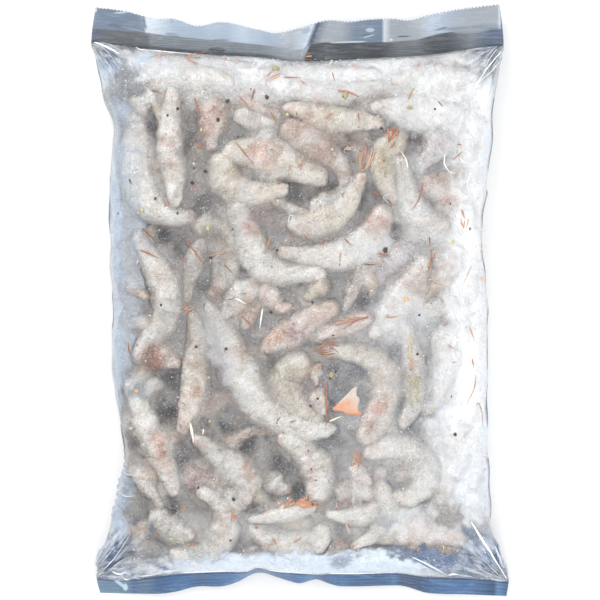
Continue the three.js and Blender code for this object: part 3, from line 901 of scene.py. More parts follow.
def ice_material(name, base, frost_colour, whiteness):
    """Rough, cloudy ice with white frost in places."""
    recipe = Recipe(name)
    mottle = recipe.noise(120, 5, 0.6)
    grain = recipe.noise(1000, 3, 0.6)
    white = linear(frost_colour)
    cloud = recipe.mix(recipe.spread(mottle, 0.45, 0.7, 0, whiteness), linear(base), white)
    colour = recipe.mix(recipe.spread(grain, 0.58, 0.72, 0, 0.6 * whiteness), cloud, white)
    shader = recipe.node(
        "BsdfPrincipled",
        Base_Color=colour,
        Roughness=0.5,
        Normal=recipe.bump(recipe.math("ADD", mottle, grain), 0.0012),
        Subsurface_Weight=0.15,
        Subsurface_Scale=0.004,
        Coat_Weight=0.2,
        Coat_Roughness=0.2,
    )
    return recipe.finish(shader.outputs[0])


def litter_material(name, roughness, streaks):
    """Shell, legs and specks: their own stain, streaked along and a little wet."""
    recipe = Recipe(name)
    stain = recipe.attribute("stain", "Color")
    streak = recipe.noise(1500, 3, 0.6)
    paler = recipe.mix(recipe.spread(streak, 0.5, 0.72, 0, streaks), stain, linear(STAINS["cream"]))
    shader = recipe.node(
        "BsdfPrincipled",
        Base_Color=paler,
        Roughness=roughness,
        Normal=recipe.bump(streak, 0.0003),
        Subsurface_Weight=0.1,
        Subsurface_Scale=0.001,
        Coat_Weight=0.3,
        Coat_Roughness=0.15,
    )
    return recipe.finish(shader.outputs[0])


def film_material(name, gloss_roughness, clouding):
    """Clear film: see-through, with a veil where it is frosted or slack, and gloss. The slack film's
    folds are painted with shade and highlights, and its white specks are bubbles and painted glints.
    """
    recipe = Recipe(name)
    veil = recipe.node("Attribute", {"attribute_name": "veil"})
    cloud = recipe.noise(WASH_SCALE, 6, 0.62, 1.6)
    streak = recipe.noise(260, 4, 0.6, 1.2)
    grain = recipe.noise(900, 3, 0.6)
    thinning = recipe.math("ADD", recipe.spread(cloud, 0.35, 0.65, 1.55, 0.8),
                           recipe.spread(streak, 0.35, 0.65, 0.15, -0.15))
    thinning = recipe.math("ADD", thinning, recipe.spread(grain, 0.4, 0.65, 0.15, -0.1))
    share = recipe.math("MULTIPLY", recipe.math("POWER", veil.outputs["Alpha"], thinning), clouding)
    pleat = recipe.node("Attribute", {"attribute_name": "pleat"})
    fold = recipe.node("TexNoise", Vector=pleat.outputs["Vector"], Scale=1.0, Detail=3.0,
                       Roughness=0.5, Distortion=1.2).outputs["Fac"]
    slack = pleat.outputs["Alpha"]
    # Painted shade and highlights on the facets of the slack film's folds
    folded = recipe.mix(recipe.spread(fold, 0.4, 0.5), toned("deep"), toned("mist"))
    folded = recipe.mix(recipe.spread(fold, 0.53, 0.62), folded, toned("white"))
    tint = recipe.mix(recipe.math("MULTIPLY", slack, 0.8), veil.outputs["Color"], folded)
    # White specks: bubbles in the ice, and painted glints
    bubbles_and_glints = recipe.spread(recipe.noise(1300, 2), 0.6, 0.68, 0, 0.4)
    tint = recipe.mix(bubbles_and_glints, tint, toned("white"))
    loose = recipe.math("MULTIPLY", slack, recipe.spread(streak, 0.35, 0.6, 0.5, 1.0))
    share = recipe.math("MAXIMUM", share, loose)
    relief = recipe.math("ADD", cloud, recipe.math("MULTIPLY", grain, 0.1))
    relief = recipe.math("ADD", recipe.math("MULTIPLY", streak, 0.7), relief)
    folding = recipe.math("MULTIPLY", recipe.math("MULTIPLY", fold, slack), 3.0)
    relief = recipe.math("ADD", relief, folding)
    bump = recipe.bump(relief, 0.0022)
    smooth = recipe.bump(relief, 0.0007)
    clear = recipe.node("BsdfTransparent", Color=(1, 1, 1, 1))
    cloudy = recipe.node("BsdfPrincipled", Base_Color=tint, Roughness=0.42, Normal=bump)
    body = recipe.node("MixShader", Fac=recipe.math("MINIMUM", share, 1.0))
    recipe.tree.links.new(clear.outputs[0], body.inputs[1])
    recipe.tree.links.new(cloudy.outputs[0], body.inputs[2])
    gloss = recipe.node("BsdfGlossy", Color=(1, 1, 1, 1), Roughness=gloss_roughness, Normal=smooth)
    fresnel = recipe.node("Fresnel", IOR=1.4, Normal=smooth)
    surface = recipe.node("MixShader", Fac=fresnel.outputs[0])
    recipe.tree.links.new(body.outputs[0], surface.inputs[1])
    recipe.tree.links.new(gloss.outputs[0], surface.inputs[2])
    return recipe.finish(surface.outputs[0])


def seal_material(name, streakiness):
    """Welded film: glossy and streaked along the weld, with a smoky or bluish tint of painted
    reflection.
    """
    recipe = Recipe(name)
    tint = recipe.attribute("tint", "Color")
    stretched = recipe.node("Mapping", Vector=recipe.place, Scale=(0.12, 1.0, 1.0)).outputs[0]
    streak = recipe.node("TexNoise", Vector=stretched, Scale=900.0, Detail=3.0).outputs["Fac"]
    cloud = recipe.noise(90, 4, 0.6)
    lighter = recipe.spread(streak, 0.5, 0.75, 0, streakiness)
    colour = recipe.mix(lighter, tint, toned("pale"))
    shader = recipe.node(
        "BsdfPrincipled",
        Base_Color=colour,
        Roughness=recipe.spread(cloud, 0.3, 0.7, 0.16, 0.34),
        Normal=recipe.bump(recipe.math("ADD", streak, cloud), 0.0004),
        Specular_IOR_Level=0.4,
        Alpha=0.96,
    )
    return recipe.finish(shader.outputs[0])


def crease_material(name):
    """Doubled film that catches the light: its tint is painted highlight, reflection and shade."""
    recipe = Recipe(name)
    tint = recipe.attribute("tint", "Color")
    grain = recipe.noise(600, 3)
    colour = recipe.mix(recipe.spread(grain, 0.5, 0.75, 0, 0.35), tint, toned("mist"))
    shader = recipe.node("BsdfPrincipled", Base_Color=colour, Roughness=0.2,
                         Normal=recipe.bump(grain, 0.0003), Alpha=0.95)
    return recipe.finish(shader.outputs[0])


def floor_material(name, colour):
    """A matt floor of nearly one colour."""
    recipe = Recipe(name)
    grain = recipe.noise(40, 3)
    dusty = recipe.spread(grain, 0.4, 0.6, 0, 0.03)
    tone = recipe.mix(dusty, tuple(colour), (0.8, 0.8, 0.8, 1))
    shader = recipe.node("BsdfPrincipled", Base_Color=tone, Roughness=0.9)
    return recipe.finish(shader.outputs[0])


# The filling.

def girth_share(t, shape="blunt"):
    """The share of its girth that a shrimp has at t, from its cut end to its tail.
    A bow is widest at its middle, and the other shape nearer its blunt end."""
    blunt = 0.09
    tip = 0.07
    if shape == "bow":
        narrowing = (1 - 0.62 * ease(t, 0.5, 1.08)) * (0.4 + 0.6 * ease(t, -0.05, 0.48))
    else:
        narrowing = (1 - 0.66 * ease(t, 0.36, 1.03)) * (0.62 + 0.38 * ease(t, 0, 0.3))
    head = np.sqrt(np.maximum(1 - (1 - np.minimum(t / blunt, 1)) ** 2, 0))
    tail = np.sqrt(np.maximum(1 - (1 - np.minimum((1 - t) / tip, 1)) ** 2, 0))
    return narrowing * head * tail


def slab_mesh():
    """A slab from -1 to 1 each way, cut fine enough to bend."""
    bm = bmesh.new()
    bmesh.ops.create_cube(bm, size=2)
    bmesh.ops.subdivide_edges(bm, edges=bm.edges[:], cuts=7, use_grid_fill=True)
    return mesh_of(bm, "slab")


def icy_grain():
    """A grain of ice with flat faces, of radius 1."""
    bm = bmesh.new()
    bmesh.ops.create_icosphere(bm, subdivisions=1, radius=1)
    return mesh_of(bm, "grain")


def bag_tree():
    """The drawn-tight bag as a search tree in millimetres."""
    bm, places = skin(CORE_AROUND * 2, CORE_ROWS * 2)
    for vertex, place in zip(bm.verts, places.reshape(-1, 3)):
        vertex.co = place
    bmesh.ops.remove_doubles(bm, verts=bm.verts, dist=0.01)
    tree = BVHTree.FromBMesh(bm)
    bm.free()
    return tree


def settle(line, radii, depth, tree, facing):
    """Lays a centreline under the film at its depth, and keeps all of it inside the bag.
    Facing is 1 for the front, -1 for the back, and 0 keeps the height that it has."""
    place = line.copy()
    thick = radii.max()
    for i, radius in enumerate(radii):
        if facing:
            start = Vector((place[i, 0], place[i, 1], 80 * facing))
            found = tree.ray_cast(start, Vector((0, 0, -facing)))[0]
            surface = found.z if found else SEAL_HEIGHT
            height = 0.78 * radius + 0.12 * (thick - radius)
            place[i, 2] = surface - facing * (height + depth + FILM_GAP)
    for _ in range(6):
        for i, radius in enumerate(radii):
            near, normal, _, distance = tree.find_nearest(Vector(place[i]))
            inside = (Vector(place[i]) - near).dot(normal) < 0
            lacking = radius + FILM_GAP - (distance if inside else -distance)
            if lacking > 0:
                place[i] -= np.array(normal) * lacking * 0.8
        place[1:-1] += (place[:-2] + place[2:] - 2 * place[1:-1]) * 0.25
    room = np.array([tree.find_nearest(Vector(p))[3] for p in place]) - FILM_GAP
    return place, np.minimum(radii, np.maximum(room, 1.0))


def ball_mesh(around, rings):
    """A ball of radius 1, with its poles up and down."""
    bm = bmesh.new()
    bmesh.ops.create_uvsphere(bm, u_segments=around, v_segments=rings, radius=1)
    return mesh_of(bm, "ball")


def ways_along(line):
    """The way forward at each point of a centreline, and the way out of its curl."""
    forward = unit(np.gradient(line, axis=0))
    sideways = unit(np.cross(forward, (0, 0, 1)))
    bend = np.cross(forward[0], line[-1] - line[0])[2]
    return forward, sideways if bend > 0 else -sideways


def swept(ball, line, radii, depthwise=1.0, squareness=1.0, relief=None, shape="blunt"):
    """A ball's points drawn out along a centreline. Also gives how far along, and
    the turn round it, of each point. The turn is 0 on the outside of the curl.
    A squareness under 1 flattens its top and sides."""
    along = np.arccos(np.clip(-ball[:, 2], -1, 1)) / np.pi
    along = 0.65 * along + 0.35 * (1 - np.cos(np.pi * along)) / 2
    turn = np.arctan2(ball[:, 1], ball[:, 0])
    forward, outer = ways_along(line)
    upward = unit(np.cross(forward, outer))
    steps = np.linspace(0, 1, len(line))

    def at(rows):
        return np.stack([np.interp(along, steps, column) for column in rows.T], axis=-1)

    radius = np.interp(along, steps, radii) * girth_share(along, shape)
    if relief is not None:
        radius = radius * relief(along, turn)
    wide = np.sign(np.cos(turn)) * np.abs(np.cos(turn)) ** squareness
    high = np.sign(np.sin(turn)) * np.abs(np.sin(turn)) ** squareness * depthwise
    ring = at(outer) * wide[:, None] + at(upward) * high[:, None]
    return at(line) + ring * radius[:, None], along, turn


def shrimp_relief(seed):
    """Six overlapping segments, and a flatter belly with stubs of legs."""
    draw = np.random.default_rng(seed)
    first = draw.uniform(0.08, 0.16)
    pitch = draw.uniform(0.115, 0.14)

    def relief(along, turn):
        segment = (along - first) / pitch
        step = segment - np.floor(segment)
        ridged = 0.045 * (step ** 2 - 0.4) * ease(along, first, first + 0.02)
        ridged = ridged * ease(1 - along, 0.08, 0.14)
        belly = ease(-np.cos(turn), 0.45, 0.95)
        stubs = 0.07 * np.abs(np.sin(np.pi * segment * 2)) * belly * ease(1 - along, 0.2, 0.5)
        return 1 + ridged - 0.1 * belly + stubs

    return relief


def fog_and_shade_at(tree, places):
    """How hidden each place is by the cloudy ice between it and the film, and how much painted shade it
    gets: both grow with its depth.
    """
    depths = np.array([tree.find_nearest(Vector(place))[3] for place in places])
    return DEEPEST_FOG_AND_SHADE * ease(depths, CLEAR_DEPTH, FOG_AND_SHADE_DEPTH)


def shrimp_piece(name, shrimp, cut, material, tree):
    """One mesh of many shrimp. Each is (tone, settled line, settled radii, shape)."""
    ball = ball_mesh(*cut)
    unit_ball = places_of(ball) * MM
    bm = bmesh.new()
    places = []
    tones = []
    for number, (tone, line, radii, shape) in enumerate(shrimp):
        bm.from_mesh(ball)
        seed = 100 + number
        points, along, turn = swept(unit_ball, line, radii, 0.8, 0.84, shrimp_relief(seed), shape)
        belly = ease(-np.cos(turn), 0.3, 0.9)
        lumps = unevenness(points, 13, seed) * 0.45
        lumps += unevenness(points, 5, seed + 1) * (0.22 + 0.25 * belly)
        lumps += unevenness(points, 2.8, seed + 2) * 0.1
        points += unit(points - line[len(line) // 2]) * lumps[:, None]
        places.append(points)
        tones.append(flesh_tones(tone, points, along, turn, seed))
    bpy.data.meshes.remove(ball)
    piece = finish_piece(bm, name, material)
    places = np.vstack(places)
    places[:, 2] = np.maximum(places[:, 2], 0.2)
    piece.data.vertices.foreach_set("co", (places * MM).ravel())
    piece.data.update()
    paint(piece.data, "tone", np.vstack(tones))
    paint(piece.data, "frost", frost_and_light_at(places[:, 0], places[:, 1]))
    paint(piece.data, "fog_and_shade", fog_and_shade_at(tree, places))
    return piece


def flesh_tones(tone, points, along, turn, seed):
    """Linear colours of one shrimp's points: its tone, belly, tail, head, random washes and blushes."""
    draw = np.random.default_rng(seed)
    colours = np.tile(linear(TONES[tone])[:3], (len(points), 1))
    colours *= 1 + 0.05 * unevenness(points, 14, seed)[:, None]
    belly = ease(-np.cos(turn), 0.5, 1.0) * 0.28
    tail = ease(along, 0.88, 1.0) * draw.choice([0.0, 0.12, 0.35])
    head = (1 - ease(along, 0.0, 0.2)) * draw.choice([0.0, 0.05, 0.16])
    ragged = np.clip(1.25 + 0.5 * unevenness(points, 4, seed + 3), 0.3, 1.5)
    washes = [("tan", belly * ragged), ("orange", tail * ragged), ("pink", head * ragged)]
    for _ in range(3):
        spot = points[draw.integers(len(points))]
        near = field(points[:, 0], points[:, 1], spot[0], spot[1], 5, 5, 0, (0.2, 1.4))
        washes.append((draw.choice(["tan", "pink", "orange", "brown"]), near * ragged * 0.12))
    for stain, x, y, radius, strength in BLUSHES:
        near = field(points[:, 0], points[:, 1], x, y, radius, radius, 0, (0.3, 1.3))
        if near.max() > 0:
            washes.append((stain, near * strength * ragged))
    for stain, share in washes:
        colours = laid_over(colours, linear(STAINS[stain]), np.minimum(share, 0.95)[:, None])
    return np.hstack([colours, np.ones((len(points), 1))])


def traced_shrimp(tree):
    """The shrimp at the front, settled, in two groups: those on top and those beneath."""
    top = []
    beneath = []
    for tone, depth, girth, points, *shape in SHRIMP:
        shape = shape[0] if shape else "blunt"
        line = np.zeros((LINE_POINTS, 3))
        line[:, :2] = spline(points, LINE_POINTS)
        steps = np.linspace(0, 1, LINE_POINTS)
        radii = np.full(LINE_POINTS, girth / 2 * PRESSED)
        shares = np.maximum(girth_share(steps, shape), 0.3)
        settled, room = settle(line, radii * shares, depth, tree, 1)
        group = top if depth < FRONT_DEPTH else beneath
        group.append((tone, settled, np.minimum(radii, room / shares), shape))
    return top, beneath


def belly_legs(shrimp):
    """Stubs of legs along the inside of each curl, as thin strands."""
    ball = ball_mesh(5, 6)
    unit_ball = places_of(ball) * MM
    draw = np.random.default_rng(47)
    parts = []
    for _, line, radii, shape in shrimp:
        forward, outer = ways_along(line)
        girths = radii * girth_share(np.linspace(0, 1, len(line)), shape)
        for place in draw.integers(3, 21, BELLY_LEGS):
            foot = line[place] - outer[place] * girths[place] * draw.uniform(0.5, 0.95)
            foot = foot + (0, 0, girths[place] * draw.uniform(0.1, 0.5))
            way = unit(forward[place] * draw.uniform(-0.6, 1) - outer[place])
            reach = draw.uniform(1.5, 3.8)
            bow = outer[place] * draw.uniform(-0.3, 0.3) * reach
            path = spline([foot, foot + way * reach / 2 + bow, foot + way * reach], 7)
            hue = draw.choice(["tan", "cream", "tan", "pink"])
            leg = strand(unit_ball, path, draw.uniform(0.4, 1.0))
            parts.append((leg, stained(len(unit_ball), hue)))
    return ball, parts


def curl(draw, x, y, z, length, heading):
    """A centreline that curls as a shrimp does, tighter towards the tail. Without a
    heading it may point anywhere."""
    heading = draw.uniform(0, 2 * np.pi) if heading is None else heading
    bend = draw.uniform(1.6, 3.4) * draw.choice([-1, 1])
    steps = np.linspace(0, 1, LINE_POINTS)
    angle = heading + bend * (steps ** 1.3 - 0.5)
    ways = np.stack([np.cos(angle), np.sin(angle), np.zeros(LINE_POINTS)], axis=-1)
    walk = ways * length / (LINE_POINTS - 1)
    line = np.cumsum(walk, axis=0)
    line += np.array([x, y, z]) - line.mean(axis=0)
    line[:, 2] += draw.uniform(-2.5, 2.5) * (steps - 0.5) * 2
    return line


def loose_shrimp(tree, seed, places, facing, depths, girths, heading=None):
    """Shrimp of random curl and tone at some places."""
    draw = np.random.default_rng(seed)
    names = ["white", "warm", "grey", "pink", "khaki", "brown"]
    found = []
    for x, y, z in places:
        girth = draw.uniform(*girths)
        turned = None if heading is None else heading + draw.uniform(-0.5, 0.5)
        moved_x = x + draw.uniform(-5, 5)
        moved_y = y + draw.uniform(-5, 5)
        line = curl(draw, moved_x, moved_y, z, girth * 4.2, turned)
        radii = np.full(LINE_POINTS, girth / 2)
        shares = np.maximum(girth_share(np.linspace(0, 1, LINE_POINTS)), 0.3)
        settled, room = settle(line, radii * shares, draw.uniform(*depths), tree, facing)
        found.append((draw.choice(names), settled, np.minimum(radii, room / shares), "blunt"))
    return found


def spots(xs, ys, z=0):
    """Every pairing of some x and y, at a height."""
    return [(x, y, z) for x in xs for y in ys]


def core_piece(material):
    """The frozen mass behind the shrimp, smaller than the bag and lumpy."""
    bm, places = skin(CORE_AROUND, CORE_ROWS)
    middle = np.array(CORE_MIDDLE)
    places = middle + (places - middle) * CORE_SHARE
    places[..., 2] += unevenness(places, 16, 5) * 1.6 + unevenness(places, 7, 6) * 0.7
    set_places(bm, places)
    close(bm)
    return finish_piece(bm, "ice_core", material)


# The film.

def inward(places):
    """Unit normals that point into the bag, for a skin's array of rows."""
    around = np.roll(places[:, :-1], -1, axis=1) - np.roll(places[:, :-1], 1, axis=1)
    along = np.gradient(places[:, :-1], axis=0)
    normals = unit(np.cross(along, around))
    return np.concatenate([normals, normals[:, :1]], axis=1)


def drape(places, tree, sag, deepest):
    """How far the film sinks in at each place before it meets what it is drawn over,
    which way that is, and how far behind the film the filling then is."""
    rows, columns = places.shape[:2]
    normals = inward(places)
    behind = np.full((rows, columns), deepest + HAZE_REACH)
    for row in range(1, rows - 1):
        for column in range(columns - 1):
            start = Vector(places[row, column] * MM)
            hit = tree.ray_cast(start, Vector(normals[row, column]), (deepest + HAZE_REACH) * MM)
            if hit[0]:
                behind[row, column] = hit[3] / MM - FILM_GAP
    front = places[..., 2] > SIDE_HEIGHT
    edge = np.abs(np.linspace(0, 4, columns) % 2 - 1)
    near_side = 1 - ease(edge, 0.82, 0.97)
    near_seal = ease(1 - np.abs(np.linspace(-1, 1, rows)), 0.01, 0.1)
    limit = deepest * near_side[None, :] * near_seal[:, None] * np.where(front, 1, 0.8)
    room = np.clip(np.minimum(behind, limit), -1.0, deepest)
    sunk = np.zeros((rows, columns - 1))
    for _ in range(RELAXING_STEPS):
        level = (np.roll(sunk, 1, axis=1) + np.roll(sunk, -1, axis=1)) / 2
        along = sunk.copy()
        along[1:-1] = (sunk[:-2] + sunk[2:]) / 2
        sunk = np.minimum((level + along) / 2 + sag, room[:, :-1])
        sunk[0] = sunk[-1] = 0
    sunk = np.concatenate([sunk, sunk[:, :1]], axis=1)
    behind[:, -1] = behind[:, 0]
    return sunk, normals, np.clip(behind - sunk, 0, HAZE_REACH)


def nearness(x, y, points, reach):
    """1 on a line through some points, falling to 0 at its reach."""
    line = spline(points, 24)
    gap = np.full(x.shape, float(reach))
    for px, py in line:
        gap = np.minimum(gap, np.hypot(x - px, y - py))
    return 1 - ease(gap, 0, reach)


def veil_colours(places, slack):
    """Linear colour and share of the film's veil at each place. Cloudy ice fills the
    gaps behind the film, so the veil is thick where the filling is far behind it; its
    grey there is also painted shade, darkest over the listed deep gaps. The listed
    fields lay frost, painted light, painted shade and painted reflections over it.
    It thins out down the sides."""
    z = places[:, 2]
    x = places[:, 0] + 1.6 * unevenness(places, 10, 63) + 0.9 * unevenness(places, 4, 64)
    y = places[:, 1] + 1.3 * unevenness(places, 9, 65) + 0.8 * unevenness(places, 4, 66)
    frost = ease(frost_and_light_at(x, y), 0.25, 1)[:, None]
    # Painted shade over the deepest gaps
    dark = np.max([field(x, y, gx, gy, r, r, 0, (0.35, 1.6)) for gx, gy, r in SHADED_GAPS], axis=0)
    dark = np.clip(dark + 0.22 * unevenness(places, 15, 61), 0, 1)[:, None]
    haze = laid_over(np.array(linear(GAP_HAZE_AND_SHADE)[:3]), linear(GAP_SHADE), dark)
    colour = laid_over(haze, toned("frost"), frost)
    dark = dark[:, 0] * (1 - frost[:, 0])
    share = 0.04 + (0.62 + 0.26 * dark) * (1 - np.exp(-slack * (1 + dark) / HAZE_STEP))
    for tone, *oval, strength in VEILS_AND_PAINTED_LIGHT:
        here = field(x, y, *oval) * strength
        mixed = (here / np.maximum(here + share * (1 - here), 1e-6))[:, None]
        colour = laid_over(colour, toned(tone), mixed)
        share = here + share * (1 - here)
    share = share * (0.5 + 0.5 * ease(z, SEAL_HEIGHT, VEIL_HEIGHT))
    return np.hstack([colour, share[:, None]])


def folds():
    """Every crease as (tone, half-width, height, points): those that are listed and the
    fans at the corners."""
    found = list(CREASES)
    draw = np.random.default_rng(53)
    for corner_x, corner_y, first, last, count, reach in FANS:
        for number in range(count):
            turn = first + (last - first) * (number + 0.5) / count + draw.uniform(-2, 2)
            angle = np.radians(turn)
            way = np.array([-np.sign(corner_x) * np.cos(angle), np.sin(angle)])
            beside = np.array([-way[1], way[0]]) * draw.uniform(-1.2, 1.2)
            near = draw.uniform(0.08, 0.3) * reach
            far = draw.uniform(0.5, 1) * reach
            points = [(corner_x, corner_y) + way * gap + beside * bow
                      for gap, bow in ((near, 0), ((near + far) / 2, 1), (far, 0))]
            # The fans' tones are painted highlights and reflections
            tone = draw.choice(["milk", "haze", "white"])
            found.append((tone, draw.uniform(0.1, 0.18), draw.uniform(0.15, 0.35), points))
    return found


def slack_at(places):
    """For each place the turn round the nearest corner and the gap to it, by which the
    folds of slack film run, and how slack the film is, as rows of four numbers."""
    rows = np.zeros((len(places), 4))
    for corner_x, corner_y, reach, _ in CORNERS:
        dx = np.abs(places[:, 0] - corner_x)
        dy = np.abs(places[:, 1] - corner_y)
        gap = np.hypot(dx, dy)
        slack = 1 - ease(gap + 3 * unevenness(places, 12, 67), 0.3 * reach, 1.15 * reach)
        near = slack > rows[:, 3]
        corner = np.full(len(gap), corner_x)
        found = np.column_stack([np.arctan2(dy, dx) * 7, gap / 11, corner, slack])
        rows[near] = found[near]
    return rows


def corner_pleats(x, y):
    """Folds that fan out from the bag's four corners."""
    pleats = np.zeros(x.shape)
    for corner_x, corner_y, reach, height in CORNERS:
        dx = np.abs(x - corner_x)
        dy = np.abs(y - corner_y)
        turn = np.arctan2(dy, dx)
        gap = np.hypot(dx, dy)
        waves = np.sin(turn * 21 + 1.5 * np.sin(gap / 5) + corner_x)
        pleats += waves * height * ease(gap, 1, 8) * (1 - ease(gap, 0.4 * reach, reach))
    return pleats


def film_piece(material, sag):
    """The clear film, drawn over the filling and creased at its corners."""
    bm, places = skin(FILM_AROUND, FILM_ROWS)
    tree = tree_of("shrimp_front", "shrimp_under", "shrimp_middle", "shrimp_back", "ice_core")
    sunk, normals, behind = drape(places, tree, sag, DEEPEST_SAG)
    x = places[..., 0]
    y = places[..., 1]
    raised = np.zeros(x.shape)
    for _, width, height, points in folds():
        raised = np.maximum(raised, nearness(x, y, points, max(1.4, 5 * width)) * height)
    loose = np.clip(ease(np.abs(x), 78, 90) + ease(y, 104, 118) + ease(-y, 112, 128), 0, 1)
    wrinkled = unevenness(places * (1.6, 0.5, 1), 9, 21) * 0.35 * loose + corner_pleats(x, y)
    wrinkled += field(x, y, -88, -88, 8, 18) * np.sin(y * 2 * np.pi / 3.6 + x / 3) * 0.5
    ends = ease(1 - np.abs(np.linspace(-1, 1, len(places))), 0, 0.05)[:, None]
    outward = (raised + wrinkled) * ends
    outward = np.where(places[..., 2] > SEAL_HEIGHT, outward, 0)
    places = places + normals * (sunk - outward)[..., None]
    places[..., 2] = np.maximum(places[..., 2], 0)
    set_places(bm, places)
    layer = bm.verts.layers.float.new("behind")
    for vertex, depth in zip(bm.verts, behind.ravel()):
        vertex[layer] = depth
    close(bm)
    piece = finish_piece(bm, "clear_film", material)
    depths = np.empty(len(piece.data.vertices))
    piece.data.attributes["behind"].data.foreach_get("value", depths)
    paint(piece.data, "veil", veil_colours(places_of(piece.data), depths))
    paint(piece.data, "pleat", slack_at(places_of(piece.data)))
    return piece


# The seals.

def seal_grid(columns, rows):
    """A flat sheet as a bmesh, and how far across (-1 to 1) and out (0 to 1) its
    vertices lie."""
    bm = bmesh.new()
    bmesh.ops.create_grid(bm, x_segments=columns, y_segments=rows, size=1)
    flat = np.array([v.co for v in bm.verts])
    return bm, flat[:, 0], (flat[:, 1] + 1) / 2


def ruffle(x):
    """How far a seal's lip waves up and down, in millimetres."""
    return np.sin(x / 11) + 0.6 * np.sin(x / 5.3 + 1)


def with_painted_fields(x, y, base, painted_fields, painted_share):
    """Linear colours from a base, with crisp fields of painted reflection, highlight and shade laid
    over it, times the share that is painted.
    """
    colours = base
    for tone, *oval, strength in painted_fields:
        share = (field(x, y, *oval, rim=(0.7, 1.1)) * strength)[:, None]
        colours = laid_over(colours, toned(tone), share)
    return np.hstack([colours * painted_share, np.ones((len(x), 1))])


def tones_along(x, tones):
    """Linear colours that change along x from each tone to the next."""
    at = [place for place, _ in tones]
    known = np.array([toned(tone)[:3] for _, tone in tones])
    return np.stack([np.interp(x, at, channel) for channel in known.T], axis=-1)


# The share of a weld's listed colours, which are painted reflections, that is painted into it. The rest
# is light that its gloss mirrors.
TOP_SHARE = np.array((0.63, 0.65, 0.66))
BOTTOM_SHARE = np.array((0.44, 0.6, 0.69))
BAND_TOP = curve_through([  # x, y
    (-100, 131.6), (-74, 129.6), (-60, 127.8), (-36, 125.6), (-12, 123), (0, 121.4), (7, 124.6),
    (35, 124.9), (56, 126.2), (62, 127.8), (68, 129.2), (76, 130.3), (100, 131.6),
])
# Painted reflections: the colours that the lip and the ribbed band mirror, along x.
LIP_REFLECTIONS = [
    (-101, "storm"), (-75.6, "storm"), (-74.6, "milk"), (-62, "mist"), (-36, "mist"), (-28, "pale"),
    (-16, "mist"), (-2, "silver"), (7, "pale"), (8.4, "slate"), (14, "silver"), (20, "silver"),
    (27, "storm"), (39.6, "storm"), (41, "milk"), (44, "silver"), (57, "silver"), (64, "mist"),
    (84, "silver"), (95.8, "silver"), (96.8, "milk"), (98, "slate"),
]
BAND_REFLECTIONS = [
    (-101, "slate"), (-95, "smoke"), (-74, "smoke"), (-72, "grey"), (-20, "grey"), (-6, "silver"),
    (1.2, "silver"), (2.4, "soot"), (39, "soot"), (48, "smoke"), (57, "smoke"), (62, "soot"),
    (71, "soot"), (83, "grey"), (92, "slate"), (99, "slate"),
]
# Painted reflections of the lower weld, along x.
BOTTOM_REFLECTIONS = [
    (-98, "haze"), (-82.4, "storm"), (-81.2, "steel"), (-75, "storm"), (-69, "steel"), (-56, "blue"),
    (-49, "steel"), (-38, "blue"), (-24, "lake"), (-14, "blue"), (-3, "blue"), (5, "lake"),
    (11, "steel"), (20, "blue"), (28, "steel"), (41, "steel"), (46, "blue"), (49, "deep"),
    (57, "deep"), (68, "blue"), (82, "blue"), (94, "deep"), (96, "lake"), (100, "steel"),
]
# Fields of painted reflection, highlight and shade on the top weld, and a clay-coloured spot: tone, x,
# y, half-width, half-height, turn in degrees, strength.
TOP_PAINTED_FIELDS = [
    ("pale", -87, 139.5, 3.6, .5, 4, .9), ("milk", -99.3, 141, .9, 1.6, 0, .9),
    ("smoke", -88, 132.8, 6, .8, -8, .6), ("silver", -81, 131.4, 6.4, .35, -13, .8),
    ("storm", -61.6, 128.5, 4, .9, -12, .6), ("storm", -38.6, 126.1, 4.4, .7, 0, .6),
    ("soot", -40.4, 121.2, 4.6, 1.6, 0, .85), ("haze", 3, 130.6, 2.6, 1.4, 20, .5),
    ("silver", 17, 127.6, 4, 1, 0, .5), ("milk", 23.5, 125.1, 9.6, .42, 2, .9),
    ("pale", 33.4, 128, 3, .35, 14, .8), ("slate", 31.6, 128.6, 3, .3, 8, .7),
    ("pale", 34, 131, 2.3, 1.1, 0, .8), ("frost", 44.2, 126.3, .9, .7, 0, .9),
    ("slate", 50.2, 127.9, 3.6, .45, 1, .9), ("grey", 80, 131.9, 12, 1.1, 4, .6),
    ("slate", 68.6, 131.6, 3.4, .5, 14, .8), ("silver", 82.6, 132.2, 1, .7, 0, .6),
    ("haze", 92, 133, 6, 1.2, -4, .6), ("slate", 92, 131.7, 6, .35, 1, .7),
    ("clay", 2.8, 116.7, 1.6, .4, 0, .9), ("silver", -7.4, 119.4, .6, .5, 0, .7),
    ("slate", -75.2, 134, .7, 3, 16, .6), ("silver", 83, 130.6, 10, 1.4, 4, .6),
]
# Painted highlights and reflections on the lower weld, listed the same way.
BOTTOM_PAINTED_FIELDS = [
    ("white", -87.6, -137.4, 5.2, .9, -40, .97), ("white", -84.8, -139.4, 1.3, 2, 0, .97),
    ("lake", 69.6, -137.6, 8.6, .9, -11, .85), ("lake", 83, -137.8, 1.8, 1, 0, .7),
    ("haze", -33, -137, 6, .8, 20, .5), ("lake", 30, -133.8, 6, .6, -6, .6),
]


def seal_outline(across, out, inner, outer):
    """The x and y of a seal's grid. Its width follows the bag's edges."""
    x = across * CORNER_X * 0.985
    for _ in range(3):
        y = inner(x) + (outer(x) - inner(x)) * out
        left = left_edge(y)
        x = left + (right_edge(y) - left) * (across + 1) / 2
    return x, inner(x) + (outer(x) - inner(x)) * out


